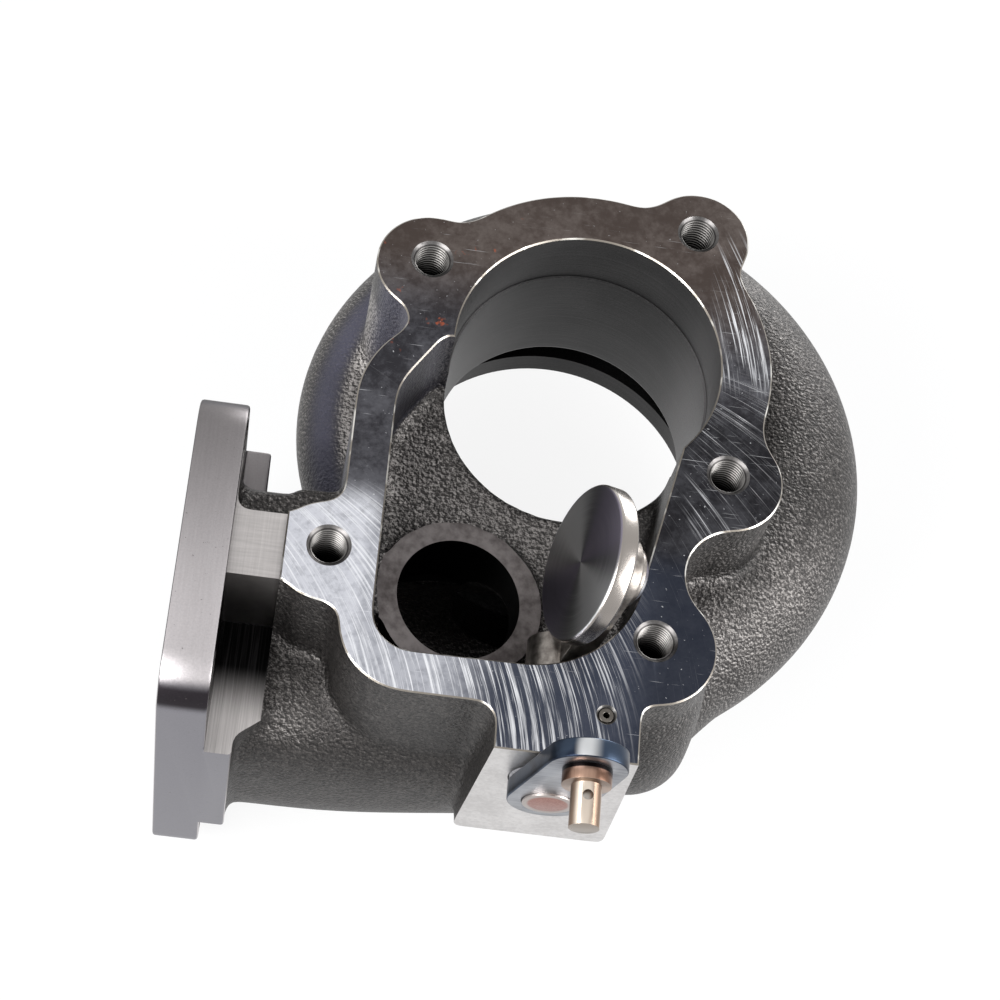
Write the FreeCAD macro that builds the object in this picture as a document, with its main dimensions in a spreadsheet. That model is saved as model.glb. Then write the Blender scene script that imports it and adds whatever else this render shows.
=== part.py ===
import FreeCAD, Part
import Sketcher
import math
import os

# Turbocharger turbine housing with a built-in wastegate. Millimetres.
# The origin is on the bore axis, in the face that meets the centre housing.
# +Z runs along the bore to the outlet face, and -X is the side of the gas inlet.

doc = FreeCAD.newDocument("turbine_housing_model")
vector = FreeCAD.Vector
UP = vector(0, 0, 1)
BEYOND = 2.0  # how far a cutting tool runs past the face that it opens

# Driving dimensions: alias, value, what it is
SIZES = [
    # Bore along Z, from the outlet face down to the centre-housing face
    ("face_height", 72, "centre-housing face to outlet face"),
    ("bore_radius", 27.5, "outlet bore"),
    ("bore_step_depth", 15, "outlet face down to the small step in the bore"),
    ("bore_step", 0.4, "how much narrower the bore is below the step"),
    ("throat_height", 27.2, "where the bore starts to flare towards the nozzle"),
    ("nozzle_top", 24.6, "upper wall of the nozzle slot"),
    ("nozzle_bottom", 9, "lower wall of the nozzle slot"),
    ("nozzle_lip", 33, "radius where the flare meets the nozzle wall"),
    ("wheel_opening", 34.6, "radius of the opening on the centre-housing side"),
    ("pilot_radius", 38.5, "recess that centres the centre housing"),
    ("pilot_depth", 3, "depth of that recess"),
    # Flange that meets the centre housing
    ("centre_flange_radius", 54, "outer radius"),
    ("centre_flange_thickness", 13, "thickness"),
    ("centre_bolt_circle", 45, "radius of the circle of tapped holes"),
    ("centre_bolt_count", 6, "number of tapped holes"),
    ("centre_bolt_core", 6.8, "core diameter of those holes"),
    ("centre_bolt_depth", 8.5, "depth of those holes"),
    # Scroll round the bore: outer reach at each quarter turn, from the bottom counter-clockwise
    ("scroll_reach_bottom", 69, "outer radius at -90 degrees"),
    ("scroll_reach_right", 67.6, "outer radius at 0 degrees"),
    ("scroll_reach_top", 63.2, "outer radius at 90 degrees"),
    ("scroll_reach_left", 57, "outer radius at 180 degrees"),
    ("scroll_reach_tongue", 49, "outer radius at 270 degrees"),
    ("scroll_rise_start", 23.4, "half height of the tube at the bottom"),
    ("scroll_rise_end", 10.5, "half height of the tube at the tongue"),
    ("scroll_level_start", 28.6, "height of the tube's middle at the bottom"),
    ("scroll_level_end", 20, "height of the tube's middle at the tongue"),
    ("scroll_inner_edge", 36, "radius where the gas passage meets the nozzle"),
    ("scroll_wall", 4.5, "wall of scroll and duct"),
    ("scroll_end_angle", 218, "where the passage runs out"),
    ("scroll_skin_end", 258, "where the outer form runs out inside the duct"),
    # Inlet duct from the flange to the scroll
    ("duct_front", -82, "side of the duct that faces -Y"),
    ("duct_back", -29, "side of the duct that faces +Y"),
    ("duct_top", 45, "top of the duct behind the inlet flange"),
    ("duct_bottom", -2.5, "underside of the duct"),
    ("port_centre_y", -52, "middle of the inlet port"),
    ("port_centre_z", 23, "height of the inlet port's middle"),
    ("port_width", 40, "inlet port along Y"),
    ("port_tallness", 42, "inlet port along Z at the flange face"),
    ("port_narrowing", 2.4, "how much lower the passage is behind the flange, each side"),
    ("duct_bend_start", 26, "back of the inlet plate to the section where the duct starts to bend"),
    ("duct_bend_middle", 54, "back of the inlet plate to the section below the shaft boss"),
    ("duct_bend_draw", 1, "how far the duct draws in on each side from one section to the next"),
    ("duct_bend_lift", 3, "how far the duct lifts towards the bend"),
    ("duct_merge_draw", 4, "how far the duct's front side draws in where it meets the scroll"),
    ("duct_merge_step", 1.5, "how far the duct's skin stands out of the scroll and then sinks into it"),
    ("duct_sink", 0.8, "how far the end of the duct lies inside the scroll"),
    ("port_draw", 4.5, "how far the passage draws in on its back side before the bend"),
    ("port_lift", 2, "how far the passage lifts in the bend"),
    # Inlet flange
    ("inlet_face", -76.3, "outer face of the inlet flange"),
    ("inlet_thickness", 9.8, "plate thickness at the studs"),
    ("inlet_thickening", 5.2, "extra thickness of the middle band"),
    ("inlet_stud_span_y", 50, "stud holes along Y"),
    ("inlet_stud_span_z", 75, "stud holes along Z"),
    ("inlet_stud_hole", 10.5, "stud hole diameter"),
    ("inlet_margin_y", 8, "stud hole to plate edge along Y"),
    ("inlet_margin_z", 8.5, "stud hole to plate edge along Z"),
    ("inlet_corner", 9.5, "corner radius of the plate"),
    ("inlet_middle_z", 27.5, "height of the plate's middle"),
    ("nut_relief_depth", 27, "outlet face down to the floor of the nut relief behind the upper front stud"),
    ("nut_relief_end", -56.4, "far wall of that relief, a flat on the lobe beside it"),
    ("nut_relief_inner_y", -57, "inner wall of that relief"),
    ("nut_relief_radius", 9, "round relief behind the upper back stud"),
    ("band_bottom", 1, "lower edge of the thick middle band"),
    ("bridge_drop", 3, "outlet face down to the top of the web between flange and lobe"),
    ("bridge_back", -43, "side of that web that faces +Y"),
    ("shelf_drop", 9, "outlet face down to the cast shelf behind the web"),
    ("shelf_back", -33.5, "side of the shelf that faces +Y"),
    # Outlet flange: ring, five lobes with tapped holes, and its neck
    ("ring_radius", 38.1, "ring round the bore"),
    ("neck_root", 28, "where the neck ends inside the scroll"),
    ("lobe_shift", -1.1, "lobes against their holes along Y"),
    ("upper_left_x", -33.8, "hole"),
    ("upper_left_y", 17.4, "hole"),
    ("upper_left_lobe", 11.4, "lobe radius"),
    ("upper_right_x", 21.3, "hole"),
    ("upper_right_y", 32.6, "hole"),
    ("upper_right_lobe", 10.9, "lobe radius"),
    ("right_x", 29.8, "hole"),
    ("right_y", -23.3, "hole"),
    ("right_lobe", 11.3, "lobe radius"),
    ("lower_right_x", 16.9, "hole"),
    ("lower_right_y", -61.3, "hole"),
    ("lower_right_lobe", 12.2, "lobe radius"),
    ("lower_left_x", -47.8, "hole"),
    ("lower_left_y", -49.9, "hole"),
    ("lower_left_lobe", 10.6, "lobe radius"),
    ("outlet_hole_core", 6.8, "core of the tapped holes"),
    ("outlet_hole_mouth", 8.8, "chamfer of the tapped holes"),
    ("outlet_hole_depth", 18, "depth of the tapped holes"),
    ("blend_ring_upper_right", 6, "concave blend"),
    ("blend_upper_right_ring", 8, "concave blend"),
    ("blend_ring_upper_left", 8, "concave blend"),
    ("blend_upper_left_wall", 4.5, "concave blend"),
    ("blend_wall_lower_left", 4, "concave blend"),
    ("blend_lower_left_corner", 4, "concave blend"),
    ("blend_corner_boss", 4, "concave blend"),
    ("blend_boss_lower_right", 2.5, "concave blend"),
    ("blend_lower_right_right", 10.5, "concave blend"),
    ("blend_right_ring", 10, "concave blend"),
    ("left_wall_x", -24, "centre of the rounded left wall"),
    ("left_wall_y", -17, "centre of the rounded left wall"),
    ("left_wall_radius", 22, "outer radius of the left wall"),
    ("front_corner_x", -30.5, "centre of the front left corner"),
    ("front_corner_y", -64.2, "centre of the front left corner"),
    ("front_corner_radius", 13.8, "outer radius of that corner"),
    # Wastegate pocket beside the bore
    ("pocket_depth", 22, "outlet face down to the cast floor"),
    ("pocket_upper_corner", 14, "corner radius beside the bore"),
    ("pocket_diagonal", 57, "lean of the wall from that corner to the bore, degrees"),
    ("pocket_lower_x", -30.2, "centre of the lower left corner"),
    ("pocket_lower_y", -61.8, "centre of the lower left corner"),
    ("pocket_lower_corner", 7.8, "radius of that corner"),
    ("pocket_right_x", -8.5, "centre of the large lower right corner"),
    ("pocket_right_y", -46.9, "centre of the large lower right corner"),
    ("pocket_right_corner", 22.4, "radius of that corner"),
    ("pocket_right_lean", 12, "lean of the right wall, degrees"),
    ("pocket_floor_round", 2.4, "round between floor and wall"),
    # Wastegate port and its raised seat
    ("seat_x", -20.4, "middle of the seat"),
    ("seat_y", -49.8, "middle of the seat"),
    ("seat_rise", 4.1, "pocket floor up to the seat's middle"),
    ("seat_tilt", 9.4, "tilt of the seat about Y, degrees"),
    ("seat_radius", 17, "outer radius of the raised ring"),
    ("gate_port_radius", 12.8, "radius of the port"),
    ("gate_port_depth", 18, "seat down into the gas passage"),
    # Boss of the wastegate shaft
    ("boss_left", -12.6, "left side at the outlet face"),
    ("boss_right", 15, "right side at the outlet face"),
    ("boss_front", -87, "machined front face"),
    ("boss_foot", 25.5, "lower end of the front face"),
    ("boss_widening_left", 2.5, "how far the left side leans out at its foot"),
    ("boss_widening_right", 1.1, "how far the right side leans out at its foot"),
    # Wastegate shaft, bushing and lock pin
    ("shaft_x", 0.07, "shaft axis"),
    ("shaft_drop", 14.14, "outlet face down to the shaft axis"),
    ("shaft_radius", 5, "shaft"),
    ("shaft_running_gap", 0.04, "radial running gap in the bushing"),
    ("bushing_radius", 8.1, "outer radius of the bushing"),
    ("bushing_proud", 0.3, "how far the bushing stands out of the boss"),
    ("bushing_edge_break", 0.6, "chamfer on the bushing's ends"),
    ("lock_pin_x", 8.27, "lock pin"),
    ("lock_pin_y", -77.7, "lock pin"),
    ("lock_pin_radius", 1.45, "lock pin"),
    ("lock_pin_bore", 0.6, "radius of the hole in the lock pin"),
    ("lock_pin_length", 19, "lock pin"),
    ("lock_pin_below", 0.3, "how far the lock pin sits under the outlet face"),
    ("lock_pin_mouth", 1.8, "radius of the chamfer round the lock pin"),
    # Wastegate crank: hub on the shaft and the arm with its eye
    ("gate_opening", 101, "angle of the flap from shut to the pose of rest, degrees"),
    ("hub_radius", 6.4, "hub"),
    ("hub_wall_gap", 2.0, "hub to pocket wall"),
    ("hub_length", 9, "hub"),
    ("hub_relief_gap", 1.4, "radial room round the hub where it passes the pocket's corner"),
    ("arm_reach", 19.6, "shaft axis to eye axis"),
    ("arm_thickness", 5.4, "arm"),
    ("eye_radius", 7.4, "outer radius of the eye"),
    ("eye_gap", 0.1, "radial play of the stem in the eye"),
    # Wastegate valve and washer, measured from the sealing face
    ("disc_radius", 15.7, "flap disc"),
    ("disc_thickness", 4, "flap disc"),
    ("disc_edge_break", 0.5, "chamfer of the disc"),
    ("stem_radius", 4, "stem"),
    ("stem_shoulder", 0.3, "play between disc and eye"),
    ("washer_radius", 6, "washer"),
    ("washer_thickness", 1.4, "washer"),
    ("rivet_radius", 5, "upset end of the stem"),
    ("rivet_thickness", 1.3, "upset end of the stem"),
    ("rivet_edge_break", 0.6, "chamfer of the upset end"),
    ("washer_play", 0.05, "radial play of the washer on the stem"),
    # Actuator lever and its pin
    ("lever_gap", 0.7, "lever to boss"),
    ("lever_thickness", 3.8, "lever"),
    ("lever_hub_radius", 8, "lever end on the shaft"),
    ("lever_tip_radius", 7.7, "lever end with the pin"),
    ("shaft_stake", 0.4, "how far the shaft end stands out of the lever"),
    ("lever_pin_shift", 4.43, "shaft axis to lever pin axis along X"),
    ("lever_pin_rise", 19.74, "shaft axis up to the lever pin axis"),
    ("lever_pin_radius", 2.9, "lever pin"),
    ("lever_pin_end", -102.7, "end of the lever pin"),
    ("collar_radius", 4.7, "collar of the lever pin"),
    ("collar_length", 3, "collar of the lever pin"),
    ("cross_hole_radius", 1, "cross hole of the lever pin"),
    ("cross_hole_inset", 5.6, "cross hole to pin end"),
]

sheet = doc.addObject("Spreadsheet::Sheet", "Sizes")
for row, (alias, value, note) in enumerate(SIZES, start=1):
    sheet.set(f"A{row}", note)
    sheet.set(f"B{row}", str(value))
    sheet.setAlias(f"B{row}", alias)
doc.recompute()


def size(alias):
    return float(sheet.get(alias))


def bind(feature, **properties):
    """Ties properties of a feature to expressions over the sheet."""
    for name, expression in properties.items():
        feature.setExpression(name.replace("__", "."), expression)


# Plane outlines made of round and straight stretches, walked counter-clockwise

class Round:
    """A convex round stretch."""

    def __init__(self, x, y, radius):
        self.centre = vector(x, y, 0)
        self.radius = radius


class Side:
    """A straight stretch through a point, walked in a direction given in degrees."""

    def __init__(self, x, y, heading):
        self.point = vector(x, y, 0)
        self.way = vector(math.cos(math.radians(heading)), math.sin(math.radians(heading)), 0)

    @staticmethod
    def touching(stretch, heading):
        contact = stretch.centre + right_of(Side(0, 0, heading).way) * stretch.radius
        return Side(contact.x, contact.y, heading)


def right_of(way):
    return vector(way.y, -way.x, 0)


def foot_on(side, point):
    return side.point + side.way * (point - side.point).dot(side.way)


def blend_centre(first, second, radius):
    """Centre of the concave blend that touches two stretches from outside."""
    if isinstance(first, Side) and isinstance(second, Side):
        start = first.point + right_of(first.way) * radius
        other = second.point + right_of(second.way) * radius
        normal = right_of(second.way)
        return start + first.way * ((other - start).dot(normal) / first.way.dot(normal))
    if isinstance(first, Round) and isinstance(second, Round):
        reach = first.radius + radius
        other_reach = second.radius + radius
        apart = second.centre - first.centre
        span = apart.Length
        along = (span * span + reach * reach - other_reach * other_reach) / (2 * span)
        aside = math.sqrt(reach * reach - along * along)
        way = apart / span
        return first.centre + way * along + right_of(way) * aside
    side, arc, sign = (first, second, -1) if isinstance(first, Side) else (second, first, 1)
    line = Side(0, 0, 0)
    line.point = side.point + right_of(side.way) * radius
    line.way = side.way
    foot = foot_on(line, arc.centre)
    gap = (arc.centre - foot).Length
    return foot + side.way * (sign * math.sqrt((arc.radius + radius) ** 2 - gap * gap))


def contact_on(stretch, centre):
    """Where a blend round this centre touches a stretch."""
    if isinstance(stretch, Side):
        return foot_on(stretch, centre)
    return stretch.centre + (centre - stretch.centre).normalize() * stretch.radius


def arc_between(start, end, centre, counter_clockwise):
    first = math.atan2(start.y - centre.y, start.x - centre.x)
    last = math.atan2(end.y - centre.y, end.x - centre.x)
    turn = (last - first) % (2 * math.pi)
    if not counter_clockwise:
        turn -= 2 * math.pi
    middle = first + turn / 2
    radius = (start - centre).Length
    halfway = centre + vector(math.cos(middle), math.sin(middle), 0) * radius
    return Part.Arc(start, halfway, end).toShape()


def outline(stretches, joins):
    """Closed wire through the stretches; joins[i] is the blend radius after stretch i, or 0."""
    count = len(stretches)
    contacts = []
    for index, radius in enumerate(joins):
        first = stretches[index]
        second = stretches[(index + 1) % count]
        if radius == 0 and isinstance(first, Round):
            point = contact_on(first, first.centre + right_of(second.way))
            contacts.append((point, point, None))
        elif radius == 0 and isinstance(second, Round):
            point = contact_on(second, second.centre + right_of(first.way))
            contacts.append((point, point, None))
        elif radius == 0:
            point = blend_centre(first, second, 0)
            contacts.append((point, point, None))
        else:
            centre = blend_centre(first, second, radius)
            contacts.append((contact_on(first, centre), contact_on(second, centre), centre))
    edges = []
    for index, stretch in enumerate(stretches):
        start = contacts[index - 1][1]
        end, next_start, centre = contacts[index]
        if isinstance(stretch, Round):
            edges.append(arc_between(start, end, stretch.centre, True))
        else:
            edges.append(Part.LineSegment(start, end).toShape())
        if centre is not None:
            edges.append(arc_between(end, next_start, centre, False))
    return Part.Wire(edges)


def prism(wire, bottom, top):
    face = Part.Face(wire)
    face.translate(UP * bottom)
    return face.extrude(UP * (top - bottom))


def solid_feature(name, shape):
    feature = doc.addObject("Part::Feature", name)
    feature.Shape = shape
    return feature


def box_feature(name, x, y, z):
    """Box between two expressions on each axis."""
    feature = doc.addObject("Part::Box", name)
    bind(feature, Length=f"({x[1]}) - ({x[0]})", Width=f"({y[1]}) - ({y[0]})", Height=f"({z[1]}) - ({z[0]})")
    bind(feature, Placement__Base__x=x[0], Placement__Base__y=y[0], Placement__Base__z=z[0])
    return feature


def rod_feature(name, radius, height, x, y, z, turned=None):
    """Cylinder that starts at a point and runs along Z, or along the axis that it is turned to."""
    feature = doc.addObject("Part::Cylinder", name)
    bind(feature, Radius=radius, Height=height)
    if turned is not None:
        feature.Placement = FreeCAD.Placement(vector(0, 0, 0), FreeCAD.Rotation(UP, turned))
    bind(feature, Placement__Base__x=x, Placement__Base__y=y, Placement__Base__z=z)
    return feature


def joined(name, features):
    feature = doc.addObject("Part::MultiFuse", name)
    feature.Shapes = features
    return feature


def less(name, base, tool):
    feature = doc.addObject("Part::Cut", name)
    feature.Base = base
    feature.Tool = tool
    return feature


def built_up(name, base, additions):
    """Adds each piece in turn to what is there."""
    for number, addition in enumerate(additions, start=1):
        feature = doc.addObject("Part::Fuse", f"{name}_{number}")
        feature.Base = base
        feature.Tool = addition
        base = feature
    return base


def cut_away(name, base, tools):
    """Takes each tool in turn out of what is there."""
    for number, tool in enumerate(tools, start=1):
        base = less(f"{name}_{number}", base, tool)
    return base


# Levels that follow the outlet face, as numbers and as expressions
face_height = size("face_height")
pocket_floor = face_height - size("pocket_depth")
seat_level = pocket_floor + size("seat_rise")
shaft_level = face_height - size("shaft_drop")
lever_pin_x = size("shaft_x") + size("lever_pin_shift")
lever_pin_level = shaft_level + size("lever_pin_rise")
RELIEF_FLOOR = "Sizes.face_height - Sizes.nut_relief_depth"
BRIDGE_TOP = "Sizes.face_height - Sizes.bridge_drop"
SHELF_TOP = "Sizes.face_height - Sizes.shelf_drop"
SHAFT_LEVEL = "Sizes.face_height - Sizes.shaft_drop"
LEVER_PIN_X = "Sizes.shaft_x + Sizes.lever_pin_shift"
LEVER_PIN_LEVEL = "Sizes.face_height - Sizes.shaft_drop + Sizes.lever_pin_rise"

# Outlet flange and neck: ring, lobes, wall and boss in one outline
RING = Round(0, 0, size("ring_radius"))


def lobe(name):
    return Round(size(name + "_x"), size(name + "_y") + size("lobe_shift"), size(name + "_lobe"))


left_wall = Round(size("left_wall_x"), size("left_wall_y"), size("left_wall_radius"))
front_corner = Round(size("front_corner_x"), size("front_corner_y"), size("front_corner_radius"))
OUTLET_WALK = [
    (RING, "blend_ring_upper_right"),
    (lobe("upper_right"), "blend_upper_right_ring"),
    (RING, "blend_ring_upper_left"),
    (lobe("upper_left"), "blend_upper_left_wall"),
    (left_wall, None),
    (Side.touching(left_wall, 270), "blend_wall_lower_left"),
    (lobe("lower_left"), "blend_lower_left_corner"),
    (front_corner, None),
    (Side.touching(front_corner, 0), "blend_corner_boss"),
    (Side(size("boss_left"), 0, 270), None),
    (Side(0, size("boss_front"), 0), None),
    (Side(size("boss_right"), 0, 90), "blend_boss_lower_right"),
    (lobe("lower_right"), "blend_lower_right_right"),
    (lobe("right"), "blend_right_ring"),
]
outlet_joins = [size(join) if join else 0 for stretch, join in OUTLET_WALK]
outlet_outline = outline([stretch for stretch, join in OUTLET_WALK], outlet_joins)
neck = solid_feature("neck", prism(outlet_outline, size("neck_root"), size("face_height")))


# Scroll, duct and column: smooth tubes through ovals that stand across the flow

OVAL_POINTS = 16
# A closed curve lies this much inside its poles
POLE_REACH = 6 / (4 + 2 * math.cos(2 * math.pi / OVAL_POINTS))


def oval(centre, outward, upward, half_out, half_up, squareness):
    """Poles of an outline between an ellipse (squareness 2) and a rounded rectangle (5 and more)."""
    poles = []
    for step in range(OVAL_POINTS):
        turn = 2 * math.pi * step / OVAL_POINTS
        across = math.cos(turn)
        along = math.sin(turn)
        reach = (abs(across) ** squareness + abs(along) ** squareness) ** (-1 / squareness) * POLE_REACH
        poles.append(centre + outward * (half_out * reach * across) + upward * (half_up * reach * along))
    return poles


def middle_of(poles):
    total = vector(0, 0, 0)
    for pole in poles:
        total += pole
    return total / len(poles)


def smooth_tube(ovals):
    """Solid whose skin runs smoothly through the ovals, with a flat end at the first and the last."""
    stations = [0.0]
    for before, after in zip(ovals, ovals[1:]):
        stations.append(stations[-1] + (middle_of(after) - middle_of(before)).Length)
    rails = []
    for step in range(OVAL_POINTS):
        rail = Part.BSplineCurve()
        rail.interpolate([poles[step] for poles in ovals], Parameters=stations)
        rails.append(rail)
    grid = [[rail.getPole(row) for rail in rails] for row in range(1, rails[0].NbPoles + 1)]
    skin = Part.BSplineSurface()
    skin.buildFromPolesMultsKnots(
        grid,
        rails[0].getMultiplicities(),
        [1] * (OVAL_POINTS + 1),
        rails[0].getKnots(),
        [step / OVAL_POINTS for step in range(OVAL_POINTS + 1)],
        False,
        True,
        3,
        3,
    )
    ends = [Part.Face(Part.Wire([skin.uIso(station).toShape()])) for station in (stations[0], stations[-1])]
    shell = Part.Shell([skin.toShape()] + ends)
    shell.sewShape()
    solid = Part.Solid(shell)
    if solid.Volume < 0:
        solid.reverse()
    return solid


# Squareness of the sections, from an ellipse to a rectangle with round corners
OVAL = 2
SOFT = 3.2
ROUNDED = 4.8
BOXY = 6


def round_oval(angle, inner, outer, level, half_up, squareness=OVAL):
    """Oval in the plane through the bore axis at this angle, between two radii."""
    outward = vector(math.cos(math.radians(angle)), math.sin(math.radians(angle)), 0)
    centre = outward * ((inner + outer) / 2) + UP * level
    return oval(centre, outward, UP, (outer - inner) / 2, half_up, squareness)


def duct_oval(x, back, front, bottom, top, squareness):
    """Oval in a plane across X; its outward side faces -Y."""
    centre = vector(x, (back + front) / 2, (bottom + top) / 2)
    return oval(centre, vector(0, -1, 0), UP, (back - front) / 2, (top - bottom) / 2, squareness)


QUARTER_REACHES = [
    size("scroll_reach_bottom"),
    size("scroll_reach_right"),
    size("scroll_reach_top"),
    size("scroll_reach_left"),
    size("scroll_reach_tongue"),
]


def scroll_reach(angle):
    """Outer radius of the scroll, from -90 to 270 degrees."""
    quarters = (angle + 90) / 90
    whole = min(int(quarters), 3)
    part = quarters - whole
    return QUARTER_REACHES[whole] * (1 - part) + QUARTER_REACHES[whole + 1] * part


def scroll_share(angle, start, end):
    return start + (end - start) * (angle + 90) / 360


def scroll_level(angle):
    return scroll_share(angle, size("scroll_level_start"), size("scroll_level_end"))


def scroll_rise(angle):
    return scroll_share(angle, size("scroll_rise_start"), size("scroll_rise_end"))


SCROLL_STEP = 30


def spread_angles(start, end):
    """Angles from start to end, evenly spaced by about the scroll step."""
    count = max(2, round((end - start) / SCROLL_STEP))
    return [start + (end - start) * number / count for number in range(count + 1)]


wall = size("scroll_wall")
inner_edge = size("scroll_inner_edge")
scroll_sections = []
skin_angles = spread_angles(-90, size("scroll_skin_end"))
for angle in skin_angles:
    scroll_sections.append(
        round_oval(angle, inner_edge - wall, scroll_reach(angle), scroll_level(angle), scroll_rise(angle))
    )
scroll_skin = solid_feature("scroll_skin", smooth_tube(scroll_sections))

# The duct's skin runs into the scroll and ends inside it
inlet_face = size("inlet_face")
plate_back = inlet_face + size("inlet_thickness")
duct_front = size("duct_front")
duct_back = size("duct_back")
duct_top = size("duct_top")
duct_bottom = size("duct_bottom")
MERGE_ANGLES = (-76, -60, -46)
PASSAGE_BEND_END = -50
merge_step = size("duct_merge_step")
merge_reaches = (
    -duct_front - size("duct_merge_draw"),
    scroll_reach(MERGE_ANGLES[1]) + merge_step,
    scroll_reach(MERGE_ANGLES[2]) - merge_step,
)
bend_start = plate_back + size("duct_bend_start")
bend_middle = plate_back + size("duct_bend_middle")
draw = size("duct_bend_draw")
lift = size("duct_bend_lift")
sink = size("duct_sink")
duct_sections = [
    duct_oval(plate_back - BEYOND, duct_back, duct_front, duct_bottom, duct_top, BOXY),
    duct_oval(bend_start, duct_back - draw, duct_front, duct_bottom, duct_top + draw, ROUNDED),
    duct_oval(
        bend_middle, duct_back - 2 * draw, duct_front + draw, duct_bottom + lift, duct_top + lift, SOFT
    ),
]
for angle, reach in zip(MERGE_ANGLES, merge_reaches):
    duct_sections.append(
        round_oval(angle, inner_edge - wall + sink, reach, scroll_level(angle), scroll_rise(angle) - sink)
    )
duct_skin = solid_feature("duct_skin", smooth_tube(duct_sections))

# Gas passage: the inlet port, the duct and the scroll in one loft
port_half_y = size("port_width") / 2
port_half_z = size("port_tallness") / 2
port_y = size("port_centre_y")
port_z = size("port_centre_z")
low_half_z = port_half_z - size("port_narrowing")
port_back = port_y + port_half_y
port_front = port_y - port_half_y
low_bottom = port_z - low_half_z
low_top = port_z + low_half_z
bend_back = port_back - size("port_draw")
bend_lift = size("port_lift")
front_wall = 1.8 * wall
passage_sections = [
    duct_oval(
        inlet_face - BEYOND, port_back, port_front, port_z - port_half_z, port_z + port_half_z, BOXY
    ),
    duct_oval((inlet_face + bend_start) / 2, port_back, port_front, low_bottom, low_top, ROUNDED),
    duct_oval(bend_start, bend_back, duct_front + front_wall, low_bottom, low_top, SOFT),
    duct_oval(
        bend_middle, bend_back, duct_front + front_wall, low_bottom + bend_lift, low_top + bend_lift, SOFT
    ),
    round_oval(
        MERGE_ANGLES[0],
        inner_edge,
        merge_reaches[0] - front_wall,
        scroll_level(MERGE_ANGLES[0]),
        scroll_rise(MERGE_ANGLES[0]) - wall,
    ),
]
for angle in spread_angles(PASSAGE_BEND_END, size("scroll_end_angle")):
    passage_sections.append(
        round_oval(
            angle, inner_edge, scroll_reach(angle) - wall, scroll_level(angle), scroll_rise(angle) - wall
        )
    )
passage = solid_feature("passage", smooth_tube(passage_sections))

# Core round the bore, and the flange of the centre housing
core = rod_feature(
    "core",
    "Sizes.ring_radius - 1",
    "Sizes.face_height - Sizes.centre_flange_thickness",
    "0",
    "0",
    "Sizes.centre_flange_thickness / 2",
)
centre_flange = rod_feature(
    "centre_flange", "Sizes.centre_flange_radius", "Sizes.centre_flange_thickness", "0", "0", "0"
)

# Column that carries the lower right lobe down into the duct
lower_right = lobe("lower_right")


def level_circle(x, y, z, radius):
    return oval(vector(x, y, z), vector(1, 0, 0), vector(0, 1, 0), radius, radius, 2)


# Each section of the column: shift in X and Y against the lobe, height, and what it adds to the lobe's radius
COLUMN_WALK = [
    (0, 0, face_height - 4, -1.5),
    (0.6, -1.2, face_height - 20, 0.8),
    (1.1, -2.1, face_height - 39, 1.5),
    (3, 2.4, face_height - 52, 1.5),
    (8, 14, face_height - 63, 0),
]
column_sections = []
for shift_x, shift_y, level, extra in COLUMN_WALK:
    centre = lower_right.centre + vector(shift_x, shift_y, 0)
    column_sections.append(level_circle(centre.x, centre.y, level, lower_right.radius + extra))
column = solid_feature("column", smooth_tube(column_sections))

# Boss of the wastegate shaft; its sides lean out towards the foot


def level_rectangle(left, right, front, back, z):
    corners = [(left, front), (right, front), (right, back), (left, back), (left, front)]
    return Part.makePolygon([vector(x, y, z) for x, y in corners])


BOSS_BACK = size("lower_right_y")
boss = solid_feature(
    "boss",
    Part.makeLoft(
        [
            level_rectangle(size("boss_left"), size("boss_right"), size("boss_front"), BOSS_BACK,
                            size("face_height")),
            level_rectangle(size("boss_left") - size("boss_widening_left"),
                            size("boss_right") + size("boss_widening_right"),
                            size("boss_front"), BOSS_BACK, size("boss_foot")),
            level_rectangle(size("boss_left") - size("boss_widening_left"),
                            size("boss_right") + size("boss_widening_right"),
                            duct_front + 6, BOSS_BACK, size("boss_foot") - 10),
        ],
        True,
        True,
    ),
)

# Inlet flange: plate with round corners, thick middle band, web to the lobe and cast shelf
stud_half_y = "Sizes.inlet_stud_span_y / 2"
stud_half_z = "Sizes.inlet_stud_span_z / 2"
plate_low_y = f"Sizes.port_centre_y - {stud_half_y} - Sizes.inlet_margin_y"
plate_high_y = f"Sizes.port_centre_y + {stud_half_y} + Sizes.inlet_margin_y"
plate_low_z = f"Sizes.inlet_middle_z - {stud_half_z} - Sizes.inlet_margin_z"
plate_high_z = f"Sizes.inlet_middle_z + {stud_half_z} + Sizes.inlet_margin_z"
plate_back_text = "Sizes.inlet_face + Sizes.inlet_thickness"
plate_block = box_feature(
    "plate_block",
    ("Sizes.inlet_face", plate_back_text),
    (plate_low_y, plate_high_y),
    (plate_low_z, plate_high_z),
)
doc.recompute()
inlet_plate = doc.addObject("Part::Fillet", "inlet_plate")
inlet_plate.Base = plate_block
corner_edges = []
for number, edge in enumerate(plate_block.Shape.Edges, start=1):
    if abs(edge.tangentAt(edge.FirstParameter).x) > 0.99:
        corner_edges.append((number, size("inlet_corner"), size("inlet_corner")))
inlet_plate.Edges = corner_edges
band = box_feature(
    "band",
    (plate_back_text + " - 1", plate_back_text + " + Sizes.inlet_thickening"),
    (plate_low_y, plate_high_y),
    ("Sizes.band_bottom", RELIEF_FLOOR),
)
web = box_feature(
    "web",
    (plate_back_text + " - 1", "Sizes.lower_left_x"),
    ("Sizes.nut_relief_inner_y", "Sizes.bridge_back"),
    ("Sizes.port_centre_z", BRIDGE_TOP),
)
shelf = box_feature(
    "shelf",
    (plate_back_text + " - 1", "Sizes.left_wall_x - Sizes.left_wall_radius + 2"),
    ("Sizes.bridge_back - 1", "Sizes.shelf_back"),
    ("Sizes.port_centre_z", SHELF_TOP),
)

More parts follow.
